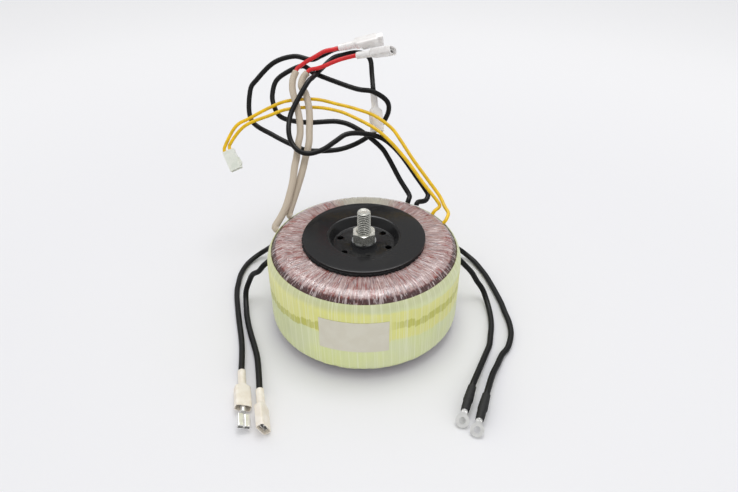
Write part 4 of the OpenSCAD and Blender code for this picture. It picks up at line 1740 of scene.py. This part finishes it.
@dataclass(frozen=True)
class Lamp:
    """A soft square lamp: its place, target and side in metres and its power in watts."""

    name: str
    place: Point
    target: Point
    size: float
    power: float
    lights: bool = True

    def hang(self) -> None:
        """Adds the lamp, which is only mirrored in surfaces where it doesn't light them."""
        data = bpy.data.lights.new(self.name, "AREA")
        data.shape, data.size, data.energy = "SQUARE", self.size, self.power
        made = bpy.data.objects.new(self.name, data)
        made.location = self.place
        made.visible_diffuse = self.lights
        way = Vector(self.target) - Vector(self.place)
        made.rotation_euler = way.to_track_quat("-Z", "Y").to_euler()
        bpy.context.scene.collection.objects.link(made)


@dataclass
class Stage:
    """Camera, floor and lights."""

    eye: Point = (3.0, -299.6, 263.9)
    pitch: float = 35.15
    focal_pixels: float = 600.0
    image_width: float = 738.0
    sensor: float = 36.0
    nearest: float = 10.0
    floor_size: float = 8000.0
    floor_height: float = -0.05
    room: float = 0.8
    reflected: float = 0.5
    overhead: Lamp = Lamp("overhead", (0.05, 0.1, 1.0), (0, 0.02, 0.03), 0.45, 2.6)
    sky_box: Lamp = Lamp("sky_box", (-0.04, 0.31, 0.98), (0, 0, 0.05), 0.72, 8.5, lights=False)

    def camera(self) -> None:
        """Camera that looks down along +Y."""
        data = bpy.data.cameras.new("camera")
        data.sensor_width = self.sensor
        data.lens = self.sensor * self.focal_pixels / self.image_width
        data.clip_start = self.nearest * MM
        made = bpy.data.objects.new("camera", data)
        made.location = [c * MM for c in self.eye]
        made.rotation_euler = (math.radians(90 - self.pitch), 0, 0)
        bpy.context.scene.collection.objects.link(made)
        bpy.context.scene.camera = made

    def floor(self, material: bpy.types.Material) -> None:
        """Large flat table under the object.

        Args:
            material: its finish.
        """
        half, z = self.floor_size / 2, self.floor_height
        corners = [(-half, -half, z), (half, -half, z), (half, half, z), (-half, half, z)]
        mesh_object("floor", corners, [(0, 1, 2, 3)], material)

    def world(self) -> None:
        """Plain bright surroundings, dimmer where a reflection sees them."""
        world = bpy.data.worlds.new("world")
        bpy.context.scene.world = world
        world.use_nodes = True
        nodes = Nodes(world.node_tree)
        mirrored = nodes.value("ShaderNodeLightPath", {}, {}, "Is Glossy Ray")
        level = self.room - (self.room - self.reflected) * mirrored
        plain = nodes.value("ShaderNodeBackground", {}, {"Color": WHITE, "Strength": level})
        nodes.node("ShaderNodeOutputWorld", {}, {"Surface": plain})

    def build(self, finishes: dict[str, bpy.types.Material]) -> None:
        """Sets the whole stage.

        Args:
            finishes: materials by slot.
        """
        self.camera()
        self.floor(finishes["floor"])
        self.overhead.hang()
        self.sky_box.hang()
        self.world()
        bpy.context.scene.view_settings.view_transform = "Standard"


def finishes() -> dict[str, bpy.types.Material]:
    """Makes every material.

    Returns:
        The materials, by the slot that each dresses.
    """
    made = {
        "clear_film": WoundFilm(), "side_tape": SideTape(), "black_paint": BlackPaint(), "sleeve": Woven(),
        "floor": Floor(),
    }
    plain = (
        Metal("core_steel", rgb(120, 122, 126), 0.45),
        Metal("zinc_steel", rgb(228, 228, 220), 0.22, 0.8, thread=True),
        Metal("spring_steel", rgb(150, 152, 154), 0.35),
        Metal("tinned_brass", rgb(240, 240, 238), 0.26, 0.6),
        Metal("contact_brass", rgb(206, 168, 96), 0.3),
        Pvc("red_pvc", rgb(224, 40, 44)),
        Pvc("yellow_pvc", rgb(246, 200, 8)),
        Pvc("black_pvc", rgb(14, 14, 15), 0.42, 0.25),
        Mottled("wrap", rgb(226, 220, 196), rgb(210, 204, 180), 0.6, 300),
        Mottled("enamelled_wire", rgb(140, 62, 46), rgb(104, 40, 34), 0.35, 700),
        Mottled("label_stock", rgb(220, 216, 200), rgb(216, 211, 194), 0.45, 160, 0.01),
        Mottled("rubber_pad", rgb(12, 12, 13), rgb(26, 26, 27), 0.85, 900),
        Mottled("white_boot", rgb(244, 242, 240), rgb(232, 228, 226), 0.35, 260, 0.2, 0.35),
        Mottled("cream_boot", rgb(247, 239, 227), rgb(238, 228, 212), 0.45, 260, 0.2, 0.25),
        Mottled("nylon", rgb(232, 234, 226), rgb(222, 226, 216), 0.4, 300, 0.1, 0.5),
        Mottled("shrink_tube", rgb(12, 12, 13), rgb(22, 22, 23), 0.72, 420, 0.5),
    )
    made.update({finish.name: finish for finish in plain})
    return {slot: finish.material() for slot, finish in made.items()}


def main() -> None:
    """Builds everything in order and reports each piece."""
    logging.basicConfig(level=logging.INFO, format="%(message)s")
    made = finishes()
    Stage().build(made)
    body = Body()
    skins, washer, fastener = Skins(body), Washer(), Fastener()
    pieces = Harness(body).build(made) + [
        skins.film(made["clear_film"]),
        skins.tape(made["side_tape"]),
        Pad().piece("upper_pad", made["rubber_pad"]),
        washer.piece("upper_washer", made["black_paint"]),
        washer.piece("lower_washer", made["black_paint"], mirror=body.middle),
        fastener.bolt(made["zinc_steel"]),
        fastener.nut(made["zinc_steel"]),
    ]
    slots = {entry["node"]: entry["material_slot"] for entry in frame["record"]["subparts"]}
    for name, node in frame["nodes"].items():
        for place in node.material_slots:
            place.material = made[slots[name]]
    for piece in pieces:
        log.info("%s: %d faces", piece.name, len(piece.data.polygons))


if __name__ == "__main__":
    main()
